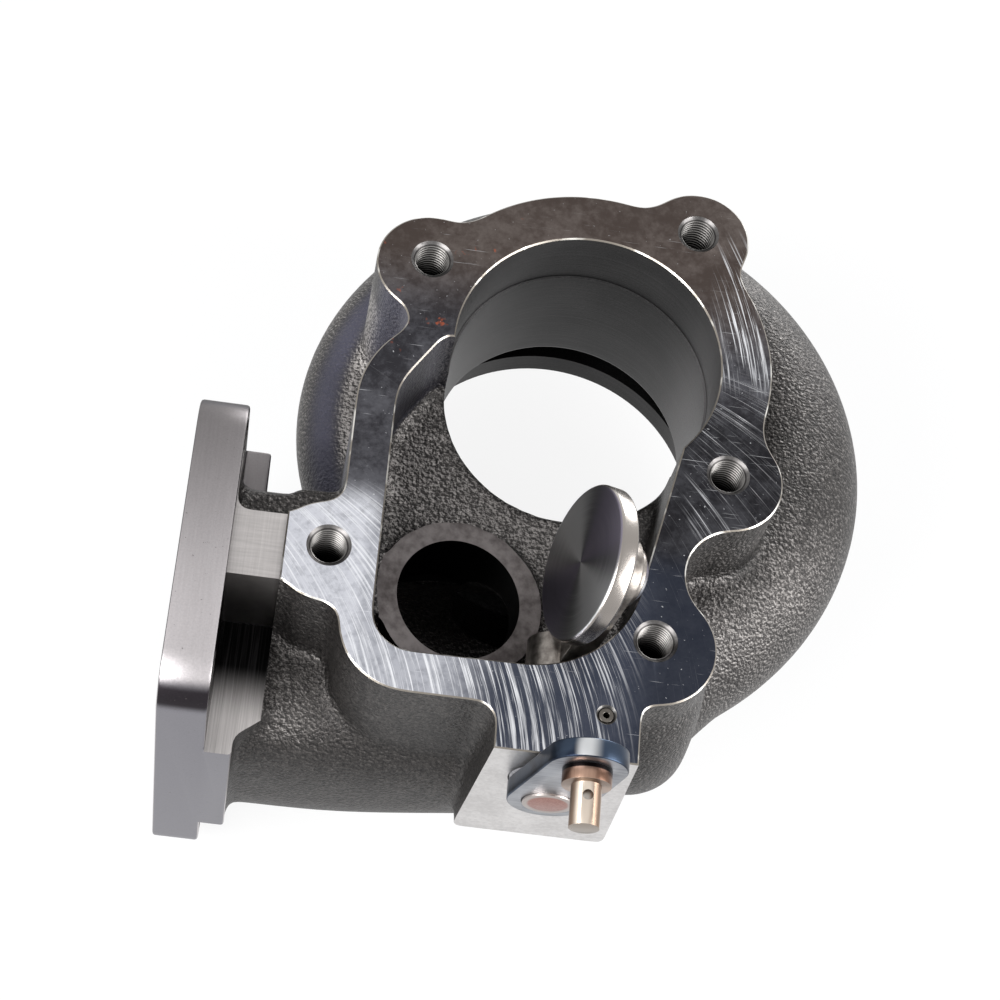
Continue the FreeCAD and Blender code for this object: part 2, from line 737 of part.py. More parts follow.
casting = built_up(
    "casting",
    neck,
    [core, centre_flange, boss, inlet_plate, band, web, shelf, duct_skin, scroll_skin, column],
)

# Turbine bore: outlet bore, flare, nozzle slot and centre-housing recess as one turned profile
bore_radius = size("bore_radius")
throat_radius = bore_radius - size("bore_step")
flare_start = vector(throat_radius, 0, size("throat_height"))
flare_end = vector(size("nozzle_lip"), 0, size("nozzle_top"))
flare_middle = vector(
    throat_radius + (size("nozzle_lip") - throat_radius) * 0.3,
    0,
    size("nozzle_top") + (size("throat_height") - size("nozzle_top")) * 0.3,
)
slot_radius = inner_edge + wall
bore_points = [
    flare_end,
    vector(slot_radius, 0, size("nozzle_top")),
    vector(slot_radius, 0, size("nozzle_bottom")),
    vector(size("wheel_opening"), 0, size("nozzle_bottom")),
    vector(size("wheel_opening"), 0, size("pilot_depth")),
    vector(size("pilot_radius"), 0, size("pilot_depth")),
    vector(size("pilot_radius"), 0, -BEYOND),
    vector(0, 0, -BEYOND),
    vector(0, 0, face_height + BEYOND),
    vector(bore_radius, 0, face_height + BEYOND),
    vector(bore_radius, 0, face_height - size("bore_step_depth")),
    vector(throat_radius, 0, face_height - size("bore_step_depth")),
    flare_start,
]
bore_edges = [Part.Arc(flare_start, flare_middle, flare_end).toShape()]
for start, end in zip(bore_points, bore_points[1:]):
    bore_edges.append(Part.LineSegment(start, end).toShape())
bore_profile = Part.Face(Part.Wire(bore_edges))
turbine_bore = solid_feature("turbine_bore", bore_profile.revolve(vector(0, 0, 0), UP, 360))

# Wastegate pocket: three round corners joined by straight walls that run out into the bore


def belt(first, second):
    """Straight stretch that touches two round stretches from outside."""
    apart = second.centre - first.centre
    lean = math.degrees(math.asin((first.radius - second.radius) / apart.Length))
    heading = math.degrees(math.atan2(apart.y, apart.x)) + lean
    return Side.touching(first, heading)


upper_corner = Round(size("left_wall_x"), size("left_wall_y"), size("pocket_upper_corner"))
lower_corner = Round(size("pocket_lower_x"), size("pocket_lower_y"), size("pocket_lower_corner"))
right_corner = Round(size("pocket_right_x"), size("pocket_right_y"), size("pocket_right_corner"))
diagonal = Side.touching(upper_corner, 180 + size("pocket_diagonal"))
right_wall = Side.touching(right_corner, 90 - size("pocket_right_lean"))
diagonal_foot = foot_on(diagonal, vector(0, 0, 0))
right_foot = foot_on(right_wall, vector(0, 0, 0))
crossing = Side(right_foot.x, right_foot.y, math.degrees(
    math.atan2(diagonal_foot.y - right_foot.y, diagonal_foot.x - right_foot.x)))
pocket_walk = [
    upper_corner,
    belt(upper_corner, lower_corner),
    lower_corner,
    belt(lower_corner, right_corner),
    right_corner,
    right_wall,
    crossing,
    diagonal,
]
pocket_block = prism(outline(pocket_walk, [0] * len(pocket_walk)), pocket_floor, face_height + BEYOND)
floor_edges = []
for edge in pocket_block.Edges:
    level = edge.BoundBox.ZMax < pocket_floor + 0.01
    if level and (edge.CenterOfMass.x ** 2 + edge.CenterOfMass.y ** 2) ** 0.5 > bore_radius * 0.5:
        floor_edges.append(edge)
pocket = solid_feature("pocket", pocket_block.makeFillet(size("pocket_floor_round"), floor_edges))

# Reliefs for the stud nuts behind the inlet flange
front_relief = box_feature(
    "front_relief",
    (plate_back_text, "Sizes.nut_relief_end"),
    ("Sizes.boss_front - 5", "Sizes.nut_relief_inner_y"),
    (RELIEF_FLOOR, "Sizes.face_height + 5"),
)
lobe_flat = box_feature(
    "lobe_flat",
    (plate_back_text, "Sizes.nut_relief_end"),
    ("Sizes.nut_relief_inner_y - 1", "Sizes.shelf_back + 10"),
    (BRIDGE_TOP, "Sizes.face_height + 5"),
)
ALONG_X = vector(1, 0, 0)
ALONG_Y = vector(0, 1, 0)
back_relief = rod_feature(
    "back_relief",
    "Sizes.nut_relief_radius",
    "Sizes.inlet_thickening + 6",
    plate_back_text,
    f"Sizes.port_centre_y + {stud_half_y}",
    f"Sizes.inlet_middle_z + {stud_half_z}",
    ALONG_X,
)
studs = []
for side_y, sign_y in (("front", "-"), ("back", "+")):
    for side_z, sign_z in (("lower", "-"), ("upper", "+")):
        studs.append(
            rod_feature(
                f"stud_hole_{side_z}_{side_y}",
                "Sizes.inlet_stud_hole / 2",
                "Sizes.inlet_thickness + Sizes.inlet_thickening + 4",
                "Sizes.inlet_face - 2",
                f"Sizes.port_centre_y {sign_y} {stud_half_y}",
                f"Sizes.inlet_middle_z {sign_z} {stud_half_z}",
                ALONG_X,
            )
        )

# Tapped holes of the outlet face, each with its chamfer
LOBES = ("upper_left", "upper_right", "right", "lower_right", "lower_left")
MOUTH_DEPTH = "(Sizes.outlet_hole_mouth - Sizes.outlet_hole_core) / 2"
outlet_holes = []
for name in LOBES:
    outlet_holes.append(
        rod_feature(
            f"{name}_hole",
            "Sizes.outlet_hole_core / 2",
            "Sizes.outlet_hole_depth + 2",
            f"Sizes.{name}_x",
            f"Sizes.{name}_y",
            "Sizes.face_height - Sizes.outlet_hole_depth",
        )
    )
    mouth = doc.addObject("Part::Cone", f"{name}_mouth")
    bind(mouth, Radius1="Sizes.outlet_hole_core / 2", Radius2="Sizes.outlet_hole_mouth / 2")
    bind(mouth, Height=MOUTH_DEPTH)
    bind(mouth, Placement__Base__x=f"Sizes.{name}_x", Placement__Base__y=f"Sizes.{name}_y")
    bind(mouth, Placement__Base__z=f"Sizes.face_height - {MOUTH_DEPTH}")
    outlet_holes.append(mouth)

# Tapped holes of the centre-housing flange
centre_holes = []
bolt_count = int(size("centre_bolt_count"))
for number in range(bolt_count):
    bolt_angle = 360 * (number + 0.5) / bolt_count
    centre_holes.append(
        rod_feature(
            f"centre_hole_{number + 1}",
            "Sizes.centre_bolt_core / 2",
            "Sizes.centre_bolt_depth + 2",
            f"Sizes.centre_bolt_circle * cos({bolt_angle} deg)",
            f"Sizes.centre_bolt_circle * sin({bolt_angle} deg)",
            "-2",
        )
    )

# Bushing bore and lock pin hole in the boss
bushing_bore = rod_feature(
    "bushing_bore",
    "Sizes.bushing_radius",
    "Sizes.pocket_right_y - Sizes.pocket_right_corner - Sizes.boss_front + 3",
    "Sizes.shaft_x",
    "Sizes.boss_front - 2",
    SHAFT_LEVEL,
    ALONG_Y,
)
hub_relief = rod_feature(
    "hub_relief",
    "Sizes.hub_radius + Sizes.hub_relief_gap",
    "Sizes.hub_length + Sizes.hub_wall_gap + 1",
    "Sizes.shaft_x",
    "Sizes.pocket_right_y - Sizes.pocket_right_corner",
    SHAFT_LEVEL,
    ALONG_Y,
)
lock_pin_hole = rod_feature(
    "lock_pin_hole",
    "Sizes.lock_pin_radius",
    "Sizes.lock_pin_length + Sizes.lock_pin_below + 2",
    "Sizes.lock_pin_x",
    "Sizes.lock_pin_y",
    "Sizes.face_height - Sizes.lock_pin_length - Sizes.lock_pin_below",
)
lock_pin_mouth = doc.addObject("Part::Cone", "lock_pin_mouth")
bind(lock_pin_mouth, Radius1="Sizes.lock_pin_radius", Radius2="Sizes.lock_pin_mouth")
bind(lock_pin_mouth, Height="Sizes.lock_pin_mouth - Sizes.lock_pin_radius")
bind(lock_pin_mouth, Placement__Base__x="Sizes.lock_pin_x", Placement__Base__y="Sizes.lock_pin_y")
bind(lock_pin_mouth, Placement__Base__z="Sizes.face_height - Sizes.lock_pin_mouth + Sizes.lock_pin_radius")

pocketed = cut_away(
    "machined",
    casting,
    [passage, turbine_bore, pocket, front_relief, lobe_flat, back_relief, bushing_bore, hub_relief,
     lock_pin_hole, lock_pin_mouth],
)
opened = less("opened", pocketed, joined("holes", studs + outlet_holes + centre_holes))

# Raised wastegate seat and its port, square to the tilted sealing plane
seat_turn = FreeCAD.Rotation(ALONG_Y, size("seat_tilt"))
seat_middle = vector(size("seat_x"), size("seat_y"), seat_level)
seat_normal = seat_turn.multVec(UP)


def on_seat(radius, below, above):
    start = seat_middle - seat_normal * below
    return Part.makeCylinder(radius, below + above, start, seat_normal)


seat_depth = seat_level - pocket_floor + 3
pocket_room = prism(outline(pocket_walk, [0] * len(pocket_walk)), pocket_floor - 2, face_height)
seat_ring = solid_feature("seat_ring", on_seat(size("seat_radius"), seat_depth, 0).common(pocket_room))
gate_port = solid_feature("gate_port", on_seat(size("gate_port_radius"), size("gate_port_depth"), BEYOND))
seated = joined("seated", [opened, seat_ring])
housing = less("turbine_housing", seated, gate_port)
doc.recompute()

# Wastegate bushing: a ring pressed into the boss, with the notch of the lock pin
pocket_front = right_corner.centre.y - right_corner.radius
bushing_front = "Sizes.boss_front - Sizes.bushing_proud"
bushing_length = "Sizes.pocket_right_y - Sizes.pocket_right_corner - Sizes.boss_front + Sizes.bushing_proud"
bushing_sleeve = rod_feature(
    "bushing_sleeve", "Sizes.bushing_radius", bushing_length, "Sizes.shaft_x", bushing_front,
    SHAFT_LEVEL, ALONG_Y,
)
bushing_hollow = rod_feature(
    "bushing_hollow", "Sizes.shaft_radius + Sizes.shaft_running_gap", bushing_length + " + 4",
    "Sizes.shaft_x", bushing_front + " - 2", SHAFT_LEVEL, ALONG_Y,
)
lock_notch = rod_feature(
    "lock_notch", "Sizes.lock_pin_radius", "Sizes.lock_pin_length + 4", "Sizes.lock_pin_x",
    "Sizes.lock_pin_y", "Sizes.face_height - Sizes.lock_pin_length - Sizes.lock_pin_below",
)
bushing_blank = doc.addObject("Part::Chamfer", "bushing_blank")
bushing_blank.Base = bushing_sleeve
doc.recompute()
bushing_blank.Edges = [
    (number, size("bushing_edge_break"), size("bushing_edge_break"))
    for number, edge in enumerate(bushing_sleeve.Shape.Edges, start=1)
    if edge.Closed and edge.BoundBox.YMin < size("boss_front")
]
bushing = less("wastegate_bushing", bushing_blank, joined("bushing_cuts", [bushing_hollow, lock_notch]))

# Lock pin: hollow, driven in beside the bushing
pin_foot = "Sizes.face_height - Sizes.lock_pin_length - Sizes.lock_pin_below"
lock_pin = less(
    "bushing_lock_pin",
    rod_feature("lock_pin_rod", "Sizes.lock_pin_radius", "Sizes.lock_pin_length", "Sizes.lock_pin_x",
                "Sizes.lock_pin_y", pin_foot),
    rod_feature("lock_pin_hollow", "Sizes.lock_pin_bore", "Sizes.lock_pin_length + 4", "Sizes.lock_pin_x",
                "Sizes.lock_pin_y", pin_foot + " - 2"),
)

# Pose of rest of the flap: the shut pose turned open about the shaft
shaft_point = vector(size("shaft_x"), 0, shaft_level)
open_turn = FreeCAD.Rotation(ALONG_Y, size("gate_opening") + size("seat_tilt"))
stem_way = open_turn.multVec(UP)
arm_way = open_turn.multVec(vector(-1, 0, 0))
eye_lift = size("disc_thickness") + size("stem_shoulder") + size("arm_thickness") / 2
eye_centre = shaft_point + arm_way * size("arm_reach") + vector(0, size("seat_y"), 0)
sealing_centre = eye_centre - stem_way * eye_lift
valve_turn = FreeCAD.Rotation(UP, stem_way)

# Crank: shaft, hub and arm with its eye, forged as one
hub_start = pocket_front + size("hub_wall_gap")
lever_front = size("boss_front") - size("lever_gap") - size("lever_thickness")
shaft_start = lever_front - size("shaft_stake")
shaft_rod = rod_feature(
    "shaft_rod",
    "Sizes.shaft_radius",
    str(hub_start + size("hub_length") / 2 - shaft_start),
    "Sizes.shaft_x",
    str(shaft_start),
    SHAFT_LEVEL,
    ALONG_Y,
)
hub = rod_feature(
    "hub", "Sizes.hub_radius", "Sizes.hub_length", "Sizes.shaft_x", str(hub_start), SHAFT_LEVEL, ALONG_Y
)


def flat_bar(ends, thickness):
    """Bar in the XY plane, centred on it, between two round ends given as x, y and radius."""
    first = Round(*ends[0])
    second = Round(*ends[1])
    walk = [first, belt(first, second), second, belt(second, first)]
    return prism(outline(walk, [0, 0, 0, 0]), -thickness / 2, thickness / 2)


# In the arm's own frame X runs along Y of the housing and Y runs along the arm
hub_middle = hub_start + size("hub_length") / 2
arm_bar = flat_bar(
    [
        (hub_middle - size("seat_y"), 0, size("hub_length") / 2),
        (0, size("arm_reach"), size("eye_radius")),
    ],
    size("arm_thickness"),
)
stem_hole = Part.makeCylinder(
    size("stem_radius") + size("eye_gap"),
    size("arm_thickness") * 3,
    vector(0, size("arm_reach"), -size("arm_thickness") * 1.5),
)
arm_frame = FreeCAD.Matrix(
    0, arm_way.x, stem_way.x, shaft_point.x,
    1, 0, 0, size("seat_y"),
    0, arm_way.z, stem_way.z, shaft_point.z,
    0, 0, 0, 1,
)
arm = solid_feature("arm", arm_bar.transformGeometry(arm_frame))
eye_hole = solid_feature("eye_hole", stem_hole.transformGeometry(arm_frame))
crank = less("wastegate_crank", joined("crank_forging", [shaft_rod, hub, arm]), eye_hole)


# Turned pieces on the stem: a sketch of half the section, revolved


def plane_of(body, role):
    return [plane for plane in body.Origin.OriginFeatures if plane.Role == role][0]


def turned_body(name, corners):
    """Body of revolution about its own Z. Each corner is a radius and a height, as expressions."""
    body = doc.addObject("PartDesign::Body", name)
    sketch = body.newObject("Sketcher::SketchObject", name + "_section")
    sketch.AttachmentSupport = [(plane_of(body, "XZ_Plane"), "")]
    sketch.MapMode = "FlatFace"
    count = len(corners)
    rough = []
    for number in range(count):
        turn = 2 * math.pi * number / count
        rough.append(vector(count + math.cos(turn), math.sin(turn), 0))
    for number in range(count):
        sketch.addGeometry(Part.LineSegment(rough[number], rough[(number + 1) % count]), False)
    for number in range(count):
        sketch.addConstraint(Sketcher.Constraint("Coincident", number, 2, (number + 1) % count, 1))
    for number, (radius, height) in enumerate(corners):
        for kind, expression in (("DistanceX", radius), ("DistanceY", height)):
            index = sketch.addConstraint(Sketcher.Constraint(kind, -1, 1, number, 1, 1.0))
            sketch.setExpression(f"Constraints[{index}]", expression)
    doc.recompute()
    revolution = body.newObject("PartDesign::Revolution", name + "_turned")
    revolution.Profile = sketch
    revolution.ReferenceAxis = (sketch, ["V_Axis"])
    revolution.Angle = 360
    body.Tip = revolution
    return body


eye_back = "(Sizes.disc_thickness + Sizes.stem_shoulder + Sizes.arm_thickness)"
washer_foot = f"{eye_back} + Sizes.stem_shoulder"
rivet_foot = f"{washer_foot} + Sizes.washer_thickness"
valve = turned_body(
    "wastegate_valve",
    [
        ("0", "0"),
        ("Sizes.disc_radius - Sizes.disc_edge_break", "0"),
        ("Sizes.disc_radius", "Sizes.disc_edge_break"),
        ("Sizes.disc_radius", "Sizes.disc_thickness - Sizes.disc_edge_break"),
        ("Sizes.disc_radius - Sizes.disc_edge_break", "Sizes.disc_thickness"),
        ("Sizes.stem_radius", "Sizes.disc_thickness"),
        ("Sizes.stem_radius", rivet_foot),
        ("Sizes.rivet_radius", rivet_foot),
        ("Sizes.rivet_radius - Sizes.rivet_edge_break", f"{rivet_foot} + Sizes.rivet_thickness"),
        ("0", f"{rivet_foot} + Sizes.rivet_thickness"),
    ],
)
valve.Placement = FreeCAD.Placement(sealing_centre, valve_turn)
washer = turned_body(
    "valve_washer",
    [
        ("Sizes.stem_radius + Sizes.washer_play", washer_foot),
        ("Sizes.washer_radius", washer_foot),
        ("Sizes.washer_radius", f"{rivet_foot}"),
        ("Sizes.stem_radius + Sizes.washer_play", f"{rivet_foot}"),
    ],
)
washer.Placement = FreeCAD.Placement(sealing_centre, valve_turn)

# Actuator lever, with the two holes that hold the shaft end and the pin
lever_middle = (size("boss_front") - size("lever_gap") + lever_front) / 2
lever_bar = flat_bar(
    [
        (size("shaft_x"), shaft_level, size("lever_hub_radius")),
        (lever_pin_x, lever_pin_level, size("lever_tip_radius")),
    ],
    size("lever_thickness"),
)
lever_bar.rotate(vector(0, 0, 0), ALONG_X, 90)
lever_bar.translate(vector(0, lever_middle, 0))
lever = less(
    "actuator_lever",
    solid_feature("lever_plate", lever_bar),
    joined(
        "lever_holes",
        [
            rod_feature("lever_shaft_hole", "Sizes.shaft_radius", "Sizes.lever_thickness * 3",
                        "Sizes.shaft_x", str(lever_front - 2), SHAFT_LEVEL, ALONG_Y),
            rod_feature("lever_pin_hole", "Sizes.lever_pin_radius", "Sizes.lever_thickness * 3",
                        LEVER_PIN_X, str(lever_front - 2), LEVER_PIN_LEVEL, ALONG_Y),
        ],
    ),
)

# Lever pin: shank through the lever, collar on its face, and a cross hole near the end
pin_shank = rod_feature(
    "pin_shank", "Sizes.lever_pin_radius", f"{lever_front + size('lever_thickness')} - Sizes.lever_pin_end",
    LEVER_PIN_X, "Sizes.lever_pin_end", LEVER_PIN_LEVEL, ALONG_Y,
)
pin_collar = rod_feature(
    "pin_collar", "Sizes.collar_radius", "Sizes.collar_length", LEVER_PIN_X,
    f"{lever_front} - Sizes.collar_length", LEVER_PIN_LEVEL, ALONG_Y,
)
cross_hole = rod_feature(
    "cross_hole", "Sizes.cross_hole_radius", "Sizes.lever_pin_radius * 4", LEVER_PIN_X,
    "Sizes.lever_pin_end + Sizes.cross_hole_inset", LEVER_PIN_LEVEL + " - Sizes.lever_pin_radius * 2",
)
lever_pin = less("lever_pin", joined("pin_turned", [pin_shank, pin_collar]), cross_hole)
doc.recompute()

# Every object sound, every piece one solid, then one STEP file each
NODES = [housing, bushing, lock_pin, crank, valve, washer, lever, lever_pin]
for feature in doc.Objects:
    if "Invalid" in feature.State or "Error" in feature.State:
        raise RuntimeError(f"{feature.Name} failed: {feature.State}")
os.makedirs("parts", exist_ok=True)
for node in NODES:
    shape = node.Shape
    if shape.isNull() or not shape.isValid() or len(shape.Solids) != 1:
        raise RuntimeError(f"{node.Name}: null {shape.isNull()}, solids {len(shape.Solids)}")
    node.Label = node.Name
    shape.Solids[0].exportStep(f"parts/{node.Label}.step")
    box = shape.BoundBox
    print(f"{node.Label}: {shape.Volume / 1000:.2f} cm3, Z {box.ZMin:.1f} to {box.ZMax:.1f}")
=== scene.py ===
"""Looks of a turbocharger turbine housing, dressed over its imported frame. All lengths are in metres."""
import functools
import logging
import math
import operator
from dataclasses import dataclass
from enum import Enum
from typing import Callable, Sequence

import bpy
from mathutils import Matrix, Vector


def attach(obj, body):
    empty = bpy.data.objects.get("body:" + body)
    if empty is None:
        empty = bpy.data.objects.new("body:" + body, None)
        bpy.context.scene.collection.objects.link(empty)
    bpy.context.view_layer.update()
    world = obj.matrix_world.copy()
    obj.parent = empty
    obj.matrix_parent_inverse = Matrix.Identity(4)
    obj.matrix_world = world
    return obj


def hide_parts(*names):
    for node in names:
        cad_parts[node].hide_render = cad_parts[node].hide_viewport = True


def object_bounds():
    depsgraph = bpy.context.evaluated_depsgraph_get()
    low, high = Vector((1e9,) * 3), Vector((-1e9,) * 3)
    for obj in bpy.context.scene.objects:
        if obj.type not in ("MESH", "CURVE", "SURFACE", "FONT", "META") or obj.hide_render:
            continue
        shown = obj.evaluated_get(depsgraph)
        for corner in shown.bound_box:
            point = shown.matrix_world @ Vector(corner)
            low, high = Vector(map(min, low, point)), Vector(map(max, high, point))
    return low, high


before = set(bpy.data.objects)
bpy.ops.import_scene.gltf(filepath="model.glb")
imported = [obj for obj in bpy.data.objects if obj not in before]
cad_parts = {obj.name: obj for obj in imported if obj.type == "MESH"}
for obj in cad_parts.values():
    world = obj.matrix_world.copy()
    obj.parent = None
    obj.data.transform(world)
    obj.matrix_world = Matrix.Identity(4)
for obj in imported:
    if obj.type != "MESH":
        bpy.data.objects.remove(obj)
CAD_BOX = [[float(number) for number in corner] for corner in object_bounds()]

logging.basicConfig(level=logging.INFO, format="%(message)s")
LOG = logging.getLogger("turbine_housing")

MM = 0.001
Number = float | int
Colour = tuple[float, float, float]
Place = tuple[float, float, float]
Fade = tuple[float, float]
Band = tuple[float, float, float, float]


class Body(Enum):
    """Bodies of the frame that a piece can ride on."""

    HOUSING = "housing"
    SWING_ARM = "swing_arm"


class Slot(Enum):
    """Material slots of the record."""

    CAST_IRON = "cast_iron_body"
    BUSHING = "bushing_steel"
    LOCK_PIN = "lock_pin_steel"
    CRANK = "crank_steel"
    VALVE = "valve_steel"
    LEVER = "lever_steel"
    LEVER_PIN = "lever_pin_plated"


class Join(Enum):
    """What a boolean does with its tool."""

    CUT = "DIFFERENCE"
    ADD = "UNION"
    KEEP = "INTERSECT"


class Value:
    """A number in a node tree that takes part in Python expressions."""

    def __init__(self, tree: "Tree", socket: bpy.types.NodeSocket) -> None:
        """Wraps a socket.

        Args:
            tree: The node tree that the socket belongs to.
            socket: The output socket that holds the number.
        """
        self.tree = tree
        self.socket = socket

    def _with(self, operation: str, *others: "Value | Number") -> "Value":
        """Adds one Math node.

        Args:
            operation: The Math node's operation.
            *others: The inputs after this value.

        Returns:
            The node's result.
        """
        return self.tree.maths(operation, self, *others)

    def __add__(self, other: "Value | Number") -> "Value":
        """Sum."""
        return self._with("ADD", other)

    __radd__ = __add__

    def __mul__(self, other: "Value | Number") -> "Value":
        """Product."""
        return self._with("MULTIPLY", other)

    __rmul__ = __mul__

    def __sub__(self, other: "Value | Number") -> "Value":
        """Difference."""
        return self._with("SUBTRACT", other)

    def __rsub__(self, other: "Value | Number") -> "Value":
        """Difference with this value taken away."""
        return self.tree.maths("SUBTRACT", other, self)

    def __truediv__(self, other: "Value | Number") -> "Value":
        """Quotient."""
        return self._with("DIVIDE", other)

    def __pow__(self, other: "Value | Number") -> "Value":
        """Power."""
        return self._with("POWER", other)

    def __abs__(self) -> "Value":
        """Size without its sign."""
        return self._with("ABSOLUTE")

    def rises(self, low: float, high: float) -> "Value":
        """Smooth step from 0 at the low number to 1 at the high one."""
        socket = self.tree.node(
            "ShaderNodeMapRange",
            {"interpolation_type": "SMOOTHSTEP"},
            {"Value": self, "From Min": low, "From Max": high},
        ).outputs["Result"]
        return Value(self.tree, socket)

    def falls(self, low: float, high: float) -> "Value":
        """Smooth step from 1 at the low number to 0 at the high one."""
        return 1 - self.rises(low, high)

    def within(self, band: Band) -> "Value":
        """Mask that rises over the band's first pair of numbers and falls over its second."""
        start, full, fading, end = band
        return self.rises(start, full) * self.falls(fading, end)

    def at_least(self, other: "Value | Number") -> "Value":
        """The larger of two numbers."""
        return self._with("MAXIMUM", other)


class Tree:
    """Node tree of one material, with its surface coordinates in millimetres."""

    def __init__(self, name: str) -> None:
        """Starts a material with an empty tree.

        Args:
            name: The material's name.
        """
        self.material = bpy.data.materials.new(name)
        self.material.use_nodes = True
        self.nodes = self.material.node_tree.nodes
        self.links = self.material.node_tree.links
        self.nodes.clear()
        self.shader = self.node("ShaderNodeBsdfPrincipled")
        output = self.node("ShaderNodeOutputMaterial")
        self.links.new(self.shader.outputs[0], output.inputs["Surface"])
        self.source = self.node("ShaderNodeTexCoord")
        self.place = self.turned()

    def node(self, kind: str, settings: dict | None = None, inputs: dict | None = None) -> bpy.types.Node:
        """Adds a node.

        Args:
            kind: The node's type.
            settings: Properties that are set first; "stops" fills a colour ramp.
            inputs: Numbers, tuples, sockets or values for its inputs, by name or number.

        Returns:
            The node.
        """
        made = self.nodes.new(kind)
        for name, setting in (settings or {}).items():
            if name == "stops":
                ramp = made.color_ramp
                while len(ramp.elements) < len(setting):
                    ramp.elements.new(1.0)
                for element, (position, colour) in zip(ramp.elements, setting):
                    element.position = position
                    element.color = (*colour, 1.0)
            else:
                setattr(made, name, setting)
        for name, value in (inputs or {}).items():
            socket = made.inputs[name]
            if isinstance(value, Value):
                self.links.new(value.socket, socket)
            elif isinstance(value, bpy.types.NodeSocket):
                self.links.new(value, socket)
            elif isinstance(value, tuple) and socket.type == "RGBA":
                socket.default_value = (*value, 1.0)
            else:
                socket.default_value = value
        return made

    def maths(self, operation: str, *terms: Value | Number) -> Value:
        """Adds a Math node over up to three terms and returns its result."""
        made = self.node("ShaderNodeMath", {"operation": operation}, dict(enumerate(terms)))
        return Value(self, made.outputs[0])

    def turned(self, turn: Place = (0, 0, 0), scale: Place = (1, 1, 1),
               start: Place = (0, 0, 0)) -> bpy.types.NodeSocket:
        """Object coordinates in millimetres, turned and stretched.

        Args:
            turn: Turn in degrees about each axis.
            scale: Stretch along each axis.
            start: Point in metres that becomes the origin.

        Returns:
            The vector socket.
        """
        centred = self.node(
            "ShaderNodeVectorMath",
            {"operation": "SUBTRACT"},
            {0: self.source.outputs["Object"], 1: start},
        )
        mapping = self.node(
            "ShaderNodeMapping",
            {"vector_type": "POINT"},
            {
                "Vector": centred.outputs[0],
                "Rotation": tuple(math.radians(angle) for angle in turn),
                "Scale": tuple(number / MM for number in scale),
            },
        )
        return mapping.outputs[0]

    def shifted(self, by: Place) -> bpy.types.NodeSocket:
        """Object coordinates in millimetres, moved by a few tenths of one."""
        return self.node("ShaderNodeVectorMath", {"operation": "ADD"}, {0: self.place, 1: by}).outputs[0]

    def parts(self, vector: bpy.types.NodeSocket) -> tuple[Value, Value, Value]:
        """X, Y and Z of a vector."""
        split = self.node("ShaderNodeSeparateXYZ", None, {0: vector})
        return tuple(Value(self, socket) for socket in split.outputs)

    def facing(self) -> tuple[Value, Value, Value]:
        """X, Y and Z of the surface's direction, in the piece's own frame."""
        return self.parts(self.source.outputs["Normal"])

    def noise(self, scale: float, detail: float = 2.0, roughness: float = 0.5,
              vector: bpy.types.NodeSocket | None = None) -> Value:
        """Noise from 0 to 1.

        Args:
            scale: Cells in a millimetre.
            detail: Octaves.
            roughness: Weight of the finer octaves.
            vector: Coordinates other than the piece's millimetres.

        Returns:
            The noise.
        """
        made = self.node(
            "ShaderNodeTexNoise",
            {"noise_dimensions": "3D"},
            {"Vector": vector or self.place, "Scale": scale, "Detail": detail, "Roughness": roughness},
        )
        return Value(self, made.outputs["Fac"])

    def tint(self, factor: Value | Number, first: object, second: object) -> bpy.types.NodeSocket:
        """Colour between two colours.

        Args:
            factor: 0 for the first, 1 for the second.
            first: Colour or socket.
            second: Colour or socket.

        Returns:
            The colour socket.
        """
        made = self.node(
            "ShaderNodeMix",
            {"data_type": "RGBA", "clamp_factor": True},
            {0: factor, 6: first, 7: second},
        )
        return made.outputs[2]

    def shaded(self, colour: bpy.types.NodeSocket, factor: Value) -> bpy.types.NodeSocket:
        """Colour times a number."""
        return self.node(
            "ShaderNodeVectorMath", {"operation": "SCALE"}, {0: colour, "Scale": factor}
        ).outputs[0]

    def bumped(self, height: Value, depth: float, strength: float = 1.0) -> bpy.types.NodeSocket:
        """Normal of a surface raised by a height from 0 to 1.

        Args:
            height: The height.
            depth: Metres at height 1.
            strength: Share of the effect.

        Returns:
            The normal socket.
        """
        made = self.node("ShaderNodeBump", None, {"Height": height, "Distance": depth, "Strength": strength})
        return made.outputs["Normal"]

    def wear(self, **inputs: object) -> bpy.types.Material:
        """Sets the shader's inputs, written with underscores for spaces, and returns the material."""
        for name, value in inputs.items():
            socket = self.shader.inputs[name.replace("_", " ")]
            if isinstance(value, Value):
                self.links.new(value.socket, socket)
            elif isinstance(value, bpy.types.NodeSocket):
                self.links.new(value, socket)
            elif isinstance(value, tuple):
                socket.default_value = (*value, 1.0)
            else:
                socket.default_value = value
        return self.material


@dataclass(frozen=True)
class Zone:
    """Region in millimetres whose mask fades in and out over a pair of numbers along each axis."""

    from_x: Fade | None = None
    to_x: Fade | None = None
    from_y: Fade | None = None
    to_y: Fade | None = None
    from_z: Fade | None = None
    to_z: Fade | None = None

    def mask(self, x: Value, y: Value, z: Value) -> Value:
        """Product of the fades that the zone has.

        Args:
            x: Place along X.
            y: Place along Y.
            z: Place along Z.

        Returns:
            The mask.
        """
        starts = ((x, self.from_x), (y, self.from_y), (z, self.from_z))
        ends = ((x, self.to_x), (y, self.to_y), (z, self.to_z))
        fades = [axis.rises(*fade) for axis, fade in starts if fade]
        fades += [axis.falls(*fade) for axis, fade in ends if fade]
        return functools.reduce(operator.mul, fades)


